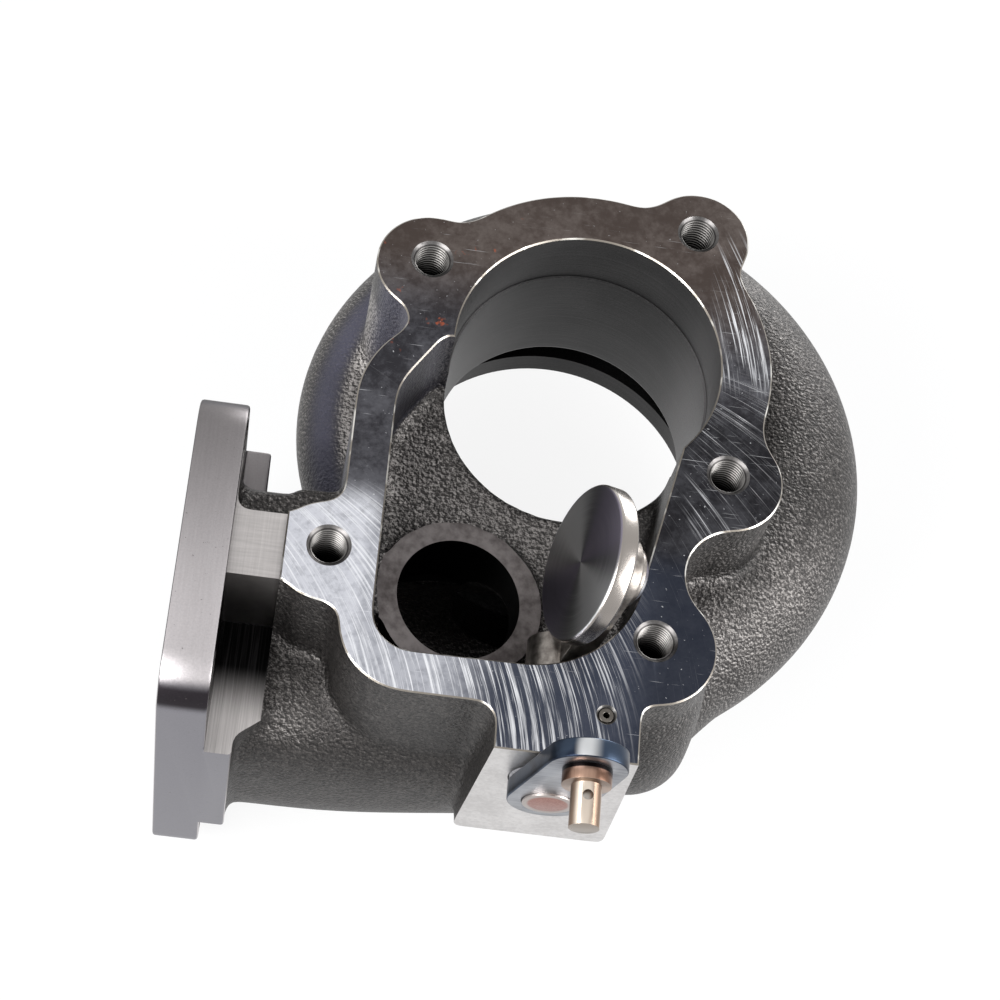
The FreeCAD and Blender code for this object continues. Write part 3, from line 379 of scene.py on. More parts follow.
@dataclass(frozen=True)
class CastSkin:
    """Shot-blasted cast iron: leathery bumps, each with painted light on one side and painted glints, painted
    light and shade by zone, and a painted blue reflection on some walls.
    """

    name: str = "cast_iron_skin"
    hollow: Colour = (0.010, 0.009, 0.009)
    body: Colour = (0.060, 0.055, 0.052)
    crest: Colour = (0.42, 0.395, 0.38)
    blue: Colour = (0.080, 0.080, 0.120)
    lamp_way: Place = (0.12, 0.15, 0.12)
    grain_scale: float = 1.4
    sand_scale: float = 3.6
    grain_depth: float = 0.00040
    # The zones and reaches below place the painted light, painted shade and painted blue reflection.
    pocket: Zone = Zone((-45, -41), (12, 16), (-70, -66), (-6, -1), (30, 34))
    pocket_rim: Fade = (56, 66)
    outlet_side: Zone = Zone(from_x=(16, 44), to_y=(-34, -8), to_z=(60, 70))
    duct_end: Zone = Zone(to_x=(-52, -40), to_y=(-56, -50))
    gas_side: Zone = Zone(to_x=(-18, -4), to_y=(-66, -58))
    left: Zone = Zone(to_x=(-34, -24), from_y=(-30, -22), from_z=(12, 26), to_z=(58, 66))
    bright_reach: Band = (42, 45, 46.5, 50.5)
    ridge_reach: Band = (47, 51, 52, 56)
    rim_reach: Fade = (53.8, 55.5)
    wall_reach: Fade = (43, 47)
    blued: Zone = Zone(None, (-44, -18), (-50, -15), (14, 50), (26, 54))
    under_lobe: Zone = Zone((14, 20), (38, 46), (-38, -32), (-20, -12), None, (50, 62))

    def material(self) -> bpy.types.Material:
        """Builds the material."""
        tree = Tree(self.name)
        x, y, z = tree.parts(tree.place)
        _, _, up = tree.facing()
        grain = tree.noise(self.grain_scale, 2, 0.5)
        beyond = tree.noise(self.grain_scale, 2, 0.5, tree.shifted(self.lamp_way))
        sand = tree.noise(self.sand_scale, 2, 0.6)
        stains = tree.noise(0.05, 3, 0.55)
        # Painted light: the grain is sampled again a little towards the lamp, so each bump is painted lighter
        # on one side.
        lit_side = (grain - beyond) * 2.6 + 0.5
        reach = (x * x + y * y) ** 0.5
        pocket = self.pocket.mask(x, y, z)
        left = self.left.mask(x, y, z)
        # The ridge of the left scroll gets a painted blue reflection and painted shade.
        ridge = left * reach.within(self.ridge_reach)
        # Painted light and shade by zone: lighter on the pocket floor, the outlet side, the duct end, the
        # left scroll's bright band and rim and on up-facing skin; darker on the gas side and the ridge.
        lit = (
            pocket * up.rises(0.3, 0.9) * z.falls(*self.pocket_rim) * 0.75
            + self.outlet_side.mask(x, y, z) * 0.55
            + self.duct_end.mask(x, y, z) * up.rises(0.3, 0.8) * 0.8
            + left * reach.within(self.bright_reach) * 1.3
            + left * reach.rises(*self.rim_reach) * 0.4
            + up.rises(0.2, 0.9) * 0.2
            - self.gas_side.mask(x, y, z) * 0.35
            - ridge * 0.5
        )
        # Grain tone mixed with the painted light from one side and by zone, from the hollow colour to the
        # body colour.
        relief = (grain * 0.7 + lit_side * 0.4 + lit * 0.10).rises(0.22, 0.92)
        base = tree.tint(relief, self.hollow, self.body)
        # Painted glints in the crest colour, stronger where more painted light is.
        glint = (lit_side * 0.70 + sand * 0.40 + lit * 0.18).rises(0.60, 1.08)
        colour = tree.tint(glint * (lit * 0.55 + 0.28), base, self.crest)
        # Painted blue reflection on side-facing walls near the bore and on the ridge.
        walls = self.blued.mask(x, y, z) * up.falls(0.3, 0.7) * reach.falls(*self.wall_reach)
        colour = tree.tint((walls * 0.6).at_least(ridge * 0.6), colour, self.blue)
        # Painted shadow under the outlet lobes and painted shade on the pocket walls.
        lobe_shade = self.under_lobe.mask(x, y, z) * 0.75
        wall_shade = pocket * up.falls(0.2, 0.7) * 0.6
        gloom = (1 - lobe_shade) * (1 - wall_shade)
        colour = tree.shaded(colour, (stains.rises(0.2, 0.8) * 0.5 + 0.8) * gloom)
        return tree.wear(
            Base_Color=colour,
            Metallic=0.6,
            Roughness=0.38 + sand * 0.16,
            Normal=tree.bumped(grain * 0.9 + sand * 0.14, self.grain_depth, 1.0),
        )


@dataclass(frozen=True)
class CutterPass:
    """One pass of the face mill: arcs of one radius whose middle slides along X."""

    middle_y: float
    radius: float
    pitch: float
    seed: float


@dataclass(frozen=True)
class MilledFace:
    """Milled outlet face: dark mirror with the mill's bright arcs, fine scratches, painted reflections,
    lighter in patches and darker at the lower right, and a painted highlight along its edge.
    """

    name: str = "milled_face"
    level: float = 72.0
    dark: Colour = (0.034, 0.033, 0.038)
    middle: Colour = (0.100, 0.100, 0.112)
    warm: Colour = (0.070, 0.054, 0.047)
    warm_light: Colour = (0.125, 0.103, 0.092)
    silver: Colour = (0.60, 0.61, 0.66)
    navy: Colour = (0.050, 0.060, 0.090)
    scratch: Colour = (0.86, 0.87, 0.90)
    rust: Colour = (0.30, 0.075, 0.035)
    # Colours of the painted highlight along the broken edge.
    edge: Colour = (0.26, 0.235, 0.205)
    edge_light: Colour = (0.72, 0.70, 0.66)
    ring_pass: CutterPass = CutterPass(-14.0, 100.0, 1.6, 3.0)
    right_pass: CutterPass = CutterPass(-88.0, 90.0, 1.6, 6.0)
    lower_pass: CutterPass = CutterPass(-96.0, 68.0, 1.6, 9.0)
    ring_zone: Zone = Zone(from_x=(24, 30), from_y=(-6, 4), to_y=(24, 36))
    right_zone: Zone = Zone(from_x=(20, 26), from_y=(-46, -36), to_y=(-6, 4))
    low_zone: Zone = Zone(to_x=(4, 16), to_y=(-52, -46))
    # Zones of the painted reflections: lighter on the lower left and the lobe, darker at the lower right.
    lower_left_zone: Zone = Zone(to_x=(-36, -30), to_y=(-44, -34))
    lobe_zone: Zone = Zone(to_x=(-42, -36), to_y=(-42, -34))
    dark_zone: Zone = Zone(from_x=(8, 20), to_y=(-14, -4))
    rust_zone: Zone = Zone(to_x=(-20, -14), from_y=(-8, -2))

    def _feed(self, tree: Tree, cut: CutterPass, finer: float = 1.0) -> Value:
        """Noise that is the same along each arc of a pass.

        Args:
            tree: The material's tree.
            cut: The pass.
            finer: How much closer than the pass says the arcs lie.

        Returns:
            The noise.
        """
        x, y, _ = tree.parts(tree.place)
        rise = y - cut.middle_y
        reach = (cut.radius * cut.radius - rise * rise).at_least(1.0) ** 0.5
        pitch = cut.pitch * finer
        line = tree.node(
            "ShaderNodeCombineXYZ", None, {0: (x - reach) * pitch, 1: rise * 0.03, 2: cut.seed}
        ).outputs[0]
        return tree.noise(1.0, 4, 0.75, line)

    def _lines(self, tree: Tree, turn: float, low: float, high: float, seed: float) -> Value:
        """Mask of straight scratches.

        Args:
            tree: The material's tree.
            turn: Direction in degrees.
            low: Noise at which a scratch starts.
            high: Noise at which it is full.
            seed: Shift in metres that makes each set its own.

        Returns:
            The mask.
        """
        place = tree.turned((0, 0, turn), (0.09, 4.0, 1), (seed, seed, 0))
        return tree.noise(1.0, 2, 0.5, place).rises(low, high)

    def _marks(self, tree: Tree) -> Value:
        """Mask of the mill's arcs, each family where its pass went."""
        x, y, z = tree.parts(tree.place)
        bands = tree.noise(0.09, 2, 0.5).rises(0.38, 0.60)
        ring = self.ring_zone.mask(x, y, z)
        right = self.right_zone.mask(x, y, z)
        low = self.low_zone.mask(x, y, z).at_least(self.lower_left_zone.mask(x, y, z))
        ring_arcs = self._feed(tree, self.ring_pass).rises(0.52, 0.66) * ring
        right_arcs = self._feed(tree, self.right_pass).rises(0.54, 0.70) * right * (bands * 0.7 + 0.3)
        low_arcs = self._feed(tree, self.lower_pass).rises(0.49, 0.64) * low * (bands * 0.3 + 0.7)
        fine = self._feed(tree, self.right_pass, 2.4).rises(0.60, 0.78) * y.falls(-10, 14) * 0.22
        return ring_arcs.at_least(right_arcs).at_least(low_arcs).at_least(fine)

    def material(self) -> bpy.types.Material:
        """Builds the material."""
        tree = Tree(self.name)
        x, y, z = tree.parts(tree.place)
        clouds = tree.noise(0.07, 3, 0.55)
        mottle = tree.noise(0.55, 4, 0.7)
        top = y.rises(0, 22)
        low = y.falls(-48, -40)
        lower_left = ((x * -0.45) - y).rises(56, 68) * x.falls(-26, -12)
        tone = (clouds * 0.6 + mottle * 0.5).rises(0.42, 0.72)
        colour = tree.tint(tone, self.dark, self.middle)
        colour = tree.tint(top * 0.9, colour, tree.tint(tone, self.warm, self.warm_light))
        colour = tree.tint(low * 0.7, colour, self.navy)
        # Painted darker reflection towards the lower right of the face.
        colour = tree.shaded(colour, 1 - self.dark_zone.mask(x, y, z) * 0.45)
        # Painted reflections: silver patches on the lobe and towards the lower left.
        reflection_patches = self.lobe_zone.mask(x, y, z).at_least(lower_left * 0.72)
        reflection_patches = reflection_patches * (mottle.rises(0.3, 0.6) * 0.3 + 0.7)
        colour = tree.tint(reflection_patches, colour, self.silver)
        hair = self._lines(tree, 40, 0.71, 0.78, 0.31) * 0.6
        cross = self._lines(tree, -35, 0.70, 0.78, 0.73) * 0.55
        wild = self._lines(tree, 74, 0.72, 0.79, 1.37) * 0.4
        pecks = tree.noise(1.6, 2, 0.5).rises(0.72, 0.77) * 0.5
        scratches = hair.at_least(cross).at_least(wild).at_least(pecks) * (1 - top * 0.5)
        marks = self._marks(tree).at_least(scratches)
        colour = tree.tint(marks, colour, self.scratch)
        spots = tree.noise(0.22, 3, 0.7).rises(0.63, 0.70) * self.rust_zone.mask(x, y, z)
        colour = tree.tint(spots * 0.8, colour, self.rust)
        # Painted highlight along the broken edge of the face, mottled by noise.
        edge_highlight = tree.tint(tree.noise(0.16, 2, 0.6).rises(0.50, 0.62), self.edge, self.edge_light)
        colour = tree.tint(z.falls(self.level - 0.06, self.level - 0.02), colour, edge_highlight)
        return tree.wear(
            Base_Color=colour,
            Metallic=1.0,
            Roughness=0.26 + clouds * 0.14 + spots * 0.3,
            Normal=tree.bumped(marks, 0.00003, 0.4),
        )


@dataclass(frozen=True)
class BoredWall:
    """Turned wall of the bore: dark satin grey with grain, rings of tool marks and a painted sheen on two
    sides.
    """

    name: str = "bored_wall"
    dark: Colour = (0.007, 0.007, 0.007)
    light: Colour = (0.088, 0.085, 0.086)

    def material(self) -> bpy.types.Material:
        """Builds the material."""
        tree = Tree(self.name)
        x, y, z = tree.parts(tree.place)
        rings = tree.noise(1.0, 3, 0.6, tree.turned(scale=(0.02, 0.02, 3.0)))
        grain = tree.noise(3.2, 3, 0.65)
        patches = tree.noise(0.06, 2, 0.5)
        # Painted sheen: lighter towards the right and a little towards the left.
        sheen = x.rises(8, 27) * y.falls(2, 24) * 0.56 + x.falls(-27, -6) * 0.22
        tone = rings * 0.25 + grain * 0.5 + patches * 0.3 + sheen
        return tree.wear(
            Base_Color=tree.tint(tone.rises(0.30, 1.10), self.dark, self.light),
            Metallic=0.8,
            Roughness=0.36 + grain * 0.2,
            Normal=tree.bumped(rings * 0.5 + grain, 0.00005, 0.6),
        )


@dataclass(frozen=True)
class CutSteel:
    """Cut iron with fine marks, from satin to bright."""

    name: str
    dark: Colour
    light: Colour
    roughness: float = 0.34
    marks: Place = (0.05, 0.05, 3.0)
    pits: float = 0.0
    pit: Colour = (0.05, 0.045, 0.04)

    def material(self) -> bpy.types.Material:
        """Builds the material."""
        tree = Tree(self.name)
        lines = tree.noise(1.0, 3, 0.6, tree.turned(scale=self.marks))
        clouds = tree.noise(0.09, 3, 0.6)
        speckle = tree.noise(2.2, 2, 0.6).rises(0.66, 0.74) * self.pits
        colour = tree.tint((lines * 0.55 + clouds * 0.55).rises(0.36, 0.74), self.dark, self.light)
        colour = tree.tint(speckle, colour, self.pit)
        return tree.wear(
            Base_Color=colour,
            Metallic=1.0,
            Roughness=lines * 0.12 + clouds * 0.14 + (self.roughness - 0.12),
            Normal=tree.bumped(lines - speckle * 2, 0.00005, 0.5),
        )


@dataclass(frozen=True)
class FlangeSkin:
    """Milled inlet flange: plain satin with fine specks, painted light that grows towards the near end,
    painted shade on the faces that look along Y, and a band of painted shade round its corners.
    """

    name: str = "flange_satin"
    far: Colour = (0.178, 0.167, 0.169)
    near: Colour = (0.45, 0.425, 0.432)
    front: Colour = (0.22, 0.215, 0.237)
    band: Colour = (0.030, 0.026, 0.030)
    speck: Colour = (0.10, 0.09, 0.09)

    def material(self) -> bpy.types.Material:
        """Builds the material."""
        tree = Tree(self.name)
        _, y, _ = tree.parts(tree.place)
        _, across, up = tree.facing()
        fine = tree.noise(2.6, 3, 0.6)
        lines = tree.noise(1.0, 2, 0.5, tree.turned(scale=(2.4, 0.12, 2.4)))
        # Painted light: lighter from the far end to the near end.
        colour = tree.tint(y.falls(-72, -24), self.far, self.near)
        # Painted shade on the faces that look along Y.
        colour = tree.tint(abs(across).rises(0.55, 0.80), colour, self.front)
        # Painted shade on the rounded corners, a dark band between the top and the sides.
        corner = up.rises(0.10, 0.34) * up.falls(0.62, 0.86)
        colour = tree.tint(corner, colour, self.band)
        colour = tree.shaded(colour, fine * 0.30 + lines * 0.16 + 0.78)
        colour = tree.tint(tree.noise(1.3, 2, 0.6).rises(0.70, 0.76) * 0.6, colour, self.speck)
        return tree.wear(
            Base_Color=colour,
            Metallic=1.0,
            Roughness=0.36 + fine * 0.12,
            Normal=tree.bumped(fine + lines * 0.5, 0.00004, 0.5),
        )


@dataclass(frozen=True)
class ThreadFlank:
    """Tapped hole: painted shade that leaves the flanks nearly black deep down and lighter to the mouth,
    painted highlights on the thread crests, and a bright countersink.
    """

    name: str
    mouth: float
    inward: float
    pitch: float = 0.9
    deep: Colour = (0.003, 0.003, 0.003)
    near: Colour = (0.040, 0.038, 0.037)
    crest: Colour = (0.26, 0.25, 0.24)
    rim: Colour = (0.13, 0.124, 0.122)

    def material(self) -> bpy.types.Material:
        """Builds the material."""
        tree = Tree(self.name)
        _, _, z = tree.parts(tree.place)
        depth = (z - self.mouth) * self.inward
        grain = tree.noise(1.1, 2, 0.6)
        # Painted shade: darker deeper in the hole.
        colour = tree.tint(depth.falls(1.0, 8.0), self.deep, self.near)
        # Painted highlights on the thread crests, fading with depth.
        phase = tree.maths("COSINE", (depth - 0.8) * (math.tau / self.pitch))
        lines = phase.rises(0.55, 0.98) * depth.falls(4.0, 13.0) * 0.8
        colour = tree.tint(lines, colour, self.crest)
        colour = tree.tint(depth.falls(0.46, 0.56), colour, self.rim)
        return tree.wear(
            Base_Color=tree.shaded(colour, grain * 0.8 + 0.5),
            Metallic=1.0,
            Roughness=0.30 + grain * 0.1,
        )


@dataclass(frozen=True)
class SlotWall:
    """Brushed walls of the relief behind the inlet flange: painted shade that leaves them nearly black, with
    painted light on the floor near the front, on the bridge top and on the ends.
    """

    name: str = "slot_brushed"
    black: Colour = (0.003, 0.003, 0.003)
    grey: Colour = (0.07, 0.066, 0.07)
    light: Colour = (0.60, 0.57, 0.56)

    def material(self) -> bpy.types.Material:
        """Builds the material."""
        tree = Tree(self.name)
        x, y, z = tree.parts(tree.place)
        _, facing_y, up = tree.facing()
        lines = tree.noise(1.0, 3, 0.6, tree.turned(scale=(3.0, 0.05, 0.05)))
        cross = tree.noise(1.0, 3, 0.6, tree.turned(scale=(0.1, 1.6, 0.1)))
        flat = up.rises(0.8, 0.95)
        bridge = flat * z.rises(60, 64)
        low = flat * (1 - bridge) * y.falls(-79, -66)
        low = low * (lines * 0.9 + 0.45)
        # Painted shade: the walls stay nearly black, with grey brushed streaks.
        streak = lines.rises(0.42, 0.75) * 0.35
        colour = tree.tint(streak, self.black, self.grey)
        # Painted light on the up-facing floor near the front and on the bridge top.
        colour = tree.tint(low.at_least(bridge * (lines * 0.3 + cross * 0.4 + 0.45)), colour, self.light)
        # Painted light on the end walls that face along Y.
        end = abs(facing_y).rises(0.8, 0.95)
        colour = tree.tint(end * (cross * 0.5 + 0.25), colour, self.light)
        return tree.wear(
            Base_Color=colour,
            Metallic=1.0,
            Roughness=0.28 + lines * 0.12,
            Normal=tree.bumped(lines, 0.00004, 0.5),
        )


@dataclass(frozen=True)
class FlapDisc:
    """Turned flap: rings of the tool with painted fans of light, violet in the dark sectors between the fans,
    and painted light and shade round its rim.
    """

    name: str
    middle: Place
    axis: Place
    groove: float = 0.9
    dark: Colour = (0.15, 0.145, 0.155)
    light: Colour = (0.62, 0.62, 0.62)
    violet: Colour = (0.30, 0.26, 0.36)
    rim: Colour = (0.74, 0.70, 0.66)
    rim_shade: Colour = (0.30, 0.275, 0.255)
    radius: float = 15.4

    def material(self) -> bpy.types.Material:
        """Builds the material."""
        tree = Tree(self.name)
        axis = Vector(self.axis).normalized()
        side = Vector((0, 1, 0))
        over = axis.cross(side)
        place = tree.turned(start=self.middle)
        along, sideways, upwards = (
            Value(tree, tree.node("ShaderNodeVectorMath", {"operation": "DOT_PRODUCT"},
                                  {0: place, 1: tuple(way)}).outputs["Value"])
            for way in (axis, side, over)
        )
        reach = (sideways * sideways + upwards * upwards) ** 0.5
        turn = tree.maths("ARCTAN2", upwards, sideways)
        # Painted highlights: fans of light by the angle round the axis.
        fans = tree.maths("COSINE", turn * 2 + 0.9) * 0.5 + 0.5
        small_fans = tree.maths("COSINE", turn * 5 + 0.4) * 0.5 + 0.5
        ring_line = tree.node("ShaderNodeCombineXYZ", None, {0: reach * 4.0, 1: along * 0.2}).outputs[0]
        rings = tree.noise(1.0, 3, 0.6, ring_line)
        light = (fans ** 3) * 0.8 + small_fans * 0.1 + rings * 0.35
        colour = tree.tint(light.rises(0.15, 0.95), self.dark, self.light)
        colour = tree.tint(fans.falls(0.1, 0.6) * 0.45, colour, self.violet)
        edge = reach.rises(self.radius - 0.1, self.radius + 0.1)
        # Painted light and shade round the rim, and painted shade along the step line.
        turn_shade = tree.maths("COSINE", turn - 2.6) * 0.5 + 0.5
        step_line = (abs(along - self.groove)).falls(0.10, 0.26)
        rim = tree.tint(turn_shade.rises(0.2, 0.8), self.rim, self.rim_shade)
        rim = tree.tint(step_line * 0.75, rim, self.rim_shade)
        colour = tree.tint(edge, colour, rim)
        return tree.wear(
            Base_Color=colour,
            Metallic=1.0,
            Roughness=0.30 - edge * 0.10 + rings * 0.08,
            Normal=tree.bumped(rings, 0.00003, 0.6),
        )


@dataclass(frozen=True)
class TwoTone:
    """Steel with one colour on its broad faces and another on its rim, and a painted highlight on the top of
    the rim.
    """

    name: str
    face: Colour
    face_shade: Colour
    rim: Colour
    rim_light: Colour
    # Colour and band along X of the painted highlight on the rim.
    gleam: Colour = (0.74, 0.75, 0.76)
    gleam_x: Band = (-0.5, 2.0, 3.5, 6.5)

    def material(self) -> bpy.types.Material:
        """Builds the material."""
        tree = Tree(self.name)
        x, _, _ = tree.parts(tree.place)
        _, across, up = tree.facing()
        flat = abs(across).rises(0.85, 0.97)
        clouds = tree.noise(0.16, 2, 0.5)
        lines = tree.noise(1.0, 3, 0.6, tree.turned((0, 35, 0), (0.08, 1, 3.0)))
        face = tree.tint((clouds * 0.6 + lines * 0.5).rises(0.35, 0.72), self.face_shade, self.face)
        rim = tree.tint(clouds.rises(0.40, 0.60), self.rim, self.rim_light)
        # Painted highlight on the up-facing rim.
        gleam = up.rises(0.86, 0.97) * x.within(self.gleam_x) * 0.8
        rim = tree.tint(gleam, rim, self.gleam)
        return tree.wear(
            Base_Color=tree.tint(flat, rim, face),
            Metallic=1.0,
            Roughness=0.26 + clouds * 0.12,
            Normal=tree.bumped(lines, 0.00003, 0.5),
        )


@dataclass(frozen=True)
class ForgedCrank:
    """Flap crank: warm dull steel, with the end of its shaft bright round a heat-tinted middle."""

    name: str
    shaft: tuple[float, float]
    end: float
    dark: Colour = (0.12, 0.105, 0.095)
    light: Colour = (0.32, 0.295, 0.27)
    mauve: Colour = (0.27, 0.135, 0.115)
    mauve_light: Colour = (0.36, 0.20, 0.17)
    ring: Colour = (0.40, 0.36, 0.34)
    ring_reach: Fade = (3.6, 4.3)

    def material(self) -> bpy.types.Material:
        """Builds the material."""
        tree = Tree(self.name)
        x, y, z = tree.parts(tree.place)
        grain = tree.noise(0.6, 3, 0.6)
        fine = tree.noise(3.0, 2, 0.6)
        across, rise = x - self.shaft[0], z - self.shaft[1]
        reach = (across * across + rise * rise) ** 0.5
        colour = tree.tint(grain.rises(0.2, 0.8), self.dark, self.light)
        middle = tree.tint(fine.rises(0.3, 0.7), self.mauve, self.mauve_light)
        tip = tree.tint(reach.rises(*self.ring_reach), middle, self.ring)
        colour = tree.tint(y.falls(self.end, self.end + 0.3), colour, tip)
        return tree.wear(
            Base_Color=colour,
            Metallic=1.0,
            Roughness=0.28 + grain * 0.14,
            Normal=tree.bumped(grain, 0.00008, 0.6),
        )


@dataclass(frozen=True)
class PlatedPin:
    """Actuator pin: painted shade at the neck next to the lever, bronze collar and a pale brass shank with
    streaks along it, both with painted highlights by the way the surface faces.
    """

    name: str
    neck: float
    collar: float
    black: Colour = (0.008, 0.006, 0.006)
    bronze: Colour = (0.15, 0.085, 0.060)
    bronze_light: Colour = (0.42, 0.27, 0.20)
    shade: Colour = (0.22, 0.155, 0.115)
    pale: Colour = (0.68, 0.59, 0.50)
    tip: Colour = (0.30, 0.26, 0.225)

    def material(self) -> bpy.types.Material:
        """Builds the material."""
        tree = Tree(self.name)
        _, y, _ = tree.parts(tree.place)
        side, along, up = tree.facing()
        streaks = tree.noise(1.0, 3, 0.6, tree.turned(scale=(1.1, 0.10, 1.1)))
        turn = tree.maths("ARCTAN2", side, up)
        # Painted highlights and shade round the pin, by the way its surface faces.
        glow = tree.maths("COSINE", turn * 3 + 0.9) * 0.5 + 0.5
        shank = tree.tint((glow * 0.8 + streaks * 0.4).rises(0.25, 0.95), self.shade, self.pale)
        bronze = tree.tint((glow * 0.6 + streaks * 0.5).rises(0.35, 0.90), self.bronze, self.bronze_light)
        shank = tree.tint(along.falls(-0.9, -0.6), shank, self.tip)
        colour = tree.tint(y.falls(self.collar - 0.1, self.collar + 0.1), bronze, shank)
        # Painted shade at the neck next to the lever.
        colour = tree.tint(y.rises(self.neck - 0.1, self.neck + 0.1), colour, self.black)
        return tree.wear(
            Base_Color=colour,
            Metallic=1.0,
            Roughness=0.24 + streaks * 0.12,
            Normal=tree.bumped(streaks, 0.00003, 0.5),
        )


@dataclass(frozen=True)
class Ring:
    """One ring of a turned outline."""

    radius: float
    height: float


class Bench:
    """Modelling steps that the sub-assemblies share."""

    @staticmethod
    def take(thing: bpy.types.Object) -> None:
        """Makes one object the only selected one and the active one."""
        bpy.ops.object.select_all(action="DESELECT")
        thing.select_set(True)
        bpy.context.view_layer.objects.active = thing

    @staticmethod
    def settle(thing: bpy.types.Object, name: str) -> bpy.types.Object:
        """Puts an object's place into its mesh and names it."""
        Bench.take(thing)
        bpy.ops.object.transform_apply(location=True, rotation=True, scale=True)
        thing.name = name
        return thing

    @staticmethod
    def copy_of(node: str, name: str) -> bpy.types.Object:
        """Copies a frame node and merges the copy's loose triangles.

        Args:
            node: The node's name.
            name: The copy's name.

        Returns:
            The copy, riding on nothing yet.
        """
        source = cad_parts[node]
        thing = bpy.data.objects.new(name, source.data.copy())
        bpy.context.scene.collection.objects.link(thing)
        thing.data.materials.clear()
        Bench.take(thing)
        bpy.ops.object.mode_set(mode="EDIT")
        bpy.ops.mesh.select_all(action="SELECT")
        bpy.ops.mesh.remove_doubles(threshold=0.000002)
        bpy.ops.object.mode_set(mode="OBJECT")
        return thing

    @staticmethod
    def pick(thing: bpy.types.Object, wanted: Callable[[Vector, Vector], bool]) -> int:
        """Selects faces by their middle and direction, in edit mode.

        Args:
            thing: The object.
            wanted: Says for a middle and a normal whether the face is taken.

        Returns:
            How many faces are selected.
        """
        Bench.take(thing)
        bpy.context.tool_settings.mesh_select_mode = (False, False, True)
        bpy.ops.object.mode_set(mode="EDIT")
        bpy.ops.mesh.select_all(action="DESELECT")
        bpy.ops.object.mode_set(mode="OBJECT")
        count = 0
        for polygon in thing.data.polygons:
            polygon.select = wanted(polygon.center, polygon.normal)
            count += polygon.select
        bpy.ops.object.mode_set(mode="EDIT")
        return count

    @staticmethod
    def rounded_along_x(thing: bpy.types.Object, offset: float) -> bpy.types.Object:
        """Rounds the edges of a block that run along X."""
        bpy.context.tool_settings.mesh_select_mode = (False, True, False)
        bpy.ops.object.mode_set(mode="EDIT")
        bpy.ops.mesh.select_all(action="DESELECT")
        bpy.ops.object.mode_set(mode="OBJECT")
        for edge in thing.data.edges:
            first, second = (thing.data.vertices[index].co for index in edge.vertices)
            edge.select = abs(first.x - second.x) > 0.005
        bpy.ops.object.mode_set(mode="EDIT")
        bpy.ops.mesh.bevel(offset=offset, segments=10, affect="EDGES")
        bpy.ops.object.mode_set(mode="OBJECT")
        return thing

    @staticmethod
    def leave(thing: bpy.types.Object) -> bpy.types.Object:
        """Leaves edit mode."""
        bpy.ops.object.mode_set(mode="OBJECT")
        return thing

    @staticmethod
    def raised(thing: bpy.types.Object, wanted: Callable[[Vector, Vector], bool], by: Place) -> None:
        """Extrudes the wanted faces by a vector."""
        if Bench.pick(thing, wanted):
            bpy.ops.mesh.extrude_region_move(TRANSFORM_OT_translate={"value": by})
        Bench.leave(thing)

    @staticmethod
    def block(name: str, low: Place, high: Place) -> bpy.types.Object:
        """Box between two corners."""
        middle = (Vector(low) + Vector(high)) / 2
        bpy.ops.mesh.primitive_cube_add(size=1, location=middle, scale=Vector(high) - Vector(low))
        return Bench.settle(bpy.context.object, name)

    @staticmethod
    def rod(name: str, radius: float, start: Place, end: Place, sides: int = 64) -> bpy.types.Object:
        """Cylinder between two points."""
        way = Vector(end) - Vector(start)
        bpy.ops.mesh.primitive_cylinder_add(
            vertices=sides,
            radius=radius,
            depth=way.length,
            location=(Vector(start) + Vector(end)) / 2,
            rotation=way.to_track_quat("Z", "Y").to_euler(),
        )
        return Bench.settle(bpy.context.object, name)

    @staticmethod
    def turned(name: str, rings: Sequence[Ring], start: Place, way: Place = (0, 0, 1),
               sides: int = 64) -> bpy.types.Object:
        """Turned solid: an end face that is extruded and widened from ring to ring.

        Args:
            name: The object's name.
            rings: Radius and height of each ring, in order.
            start: Where height 0 lies.
            way: The axis.
            sides: Sides of the circle.

        Returns:
            The object.
        """
        bpy.ops.mesh.primitive_circle_add(
            vertices=sides, radius=rings[0].radius, fill_type="NGON", location=(0, 0, rings[0].height)
        )
        thing = bpy.context.object
        Bench.settle(thing, name)
        bpy.context.tool_settings.mesh_select_mode = (False, False, True)
        bpy.ops.object.mode_set(mode="EDIT")
        bpy.ops.mesh.select_all(action="SELECT")
        for before, after in zip(rings, rings[1:]):
            bpy.ops.mesh.extrude_region_move(
                TRANSFORM_OT_translate={"value": (0, 0, after.height - before.height)}
            )
            share = after.radius / before.radius
            bpy.ops.transform.resize(value=(share, share, 1), center_override=(0, 0, after.height))
        bpy.ops.mesh.select_all(action="SELECT")
        bpy.ops.mesh.normals_make_consistent(inside=False)
        bpy.ops.object.mode_set(mode="OBJECT")
        thing.rotation_euler = Vector(way).to_track_quat("Z", "Y").to_euler()
        thing.location = start
        return Bench.settle(thing, name)

    @staticmethod
    def coat(thing: bpy.types.Object, material: bpy.types.Material) -> bpy.types.Object:
        """Gives an object one material."""
        thing.data.materials.clear()
        thing.data.materials.append(material)
        return thing

    @staticmethod
    def worked(thing: bpy.types.Object, tool: bpy.types.Object, join: Join = Join.CUT) -> None:
        """Applies a boolean with a tool, whose material goes to the new faces, and removes the tool."""
        modifier = thing.modifiers.new("work", "BOOLEAN")
        modifier.object = tool
        modifier.operation = join.value
        modifier.solver = "MANIFOLD"
        if hasattr(modifier, "material_mode"):
            modifier.material_mode = "TRANSFER"
        Bench.take(thing)
        before = len(thing.data.polygons)
        bpy.ops.object.modifier_apply(modifier="work")
        LOG.debug("%s %s: %d to %d faces", join.value, tool.name, before, len(thing.data.polygons))
        bpy.data.objects.remove(tool, do_unlink=True)

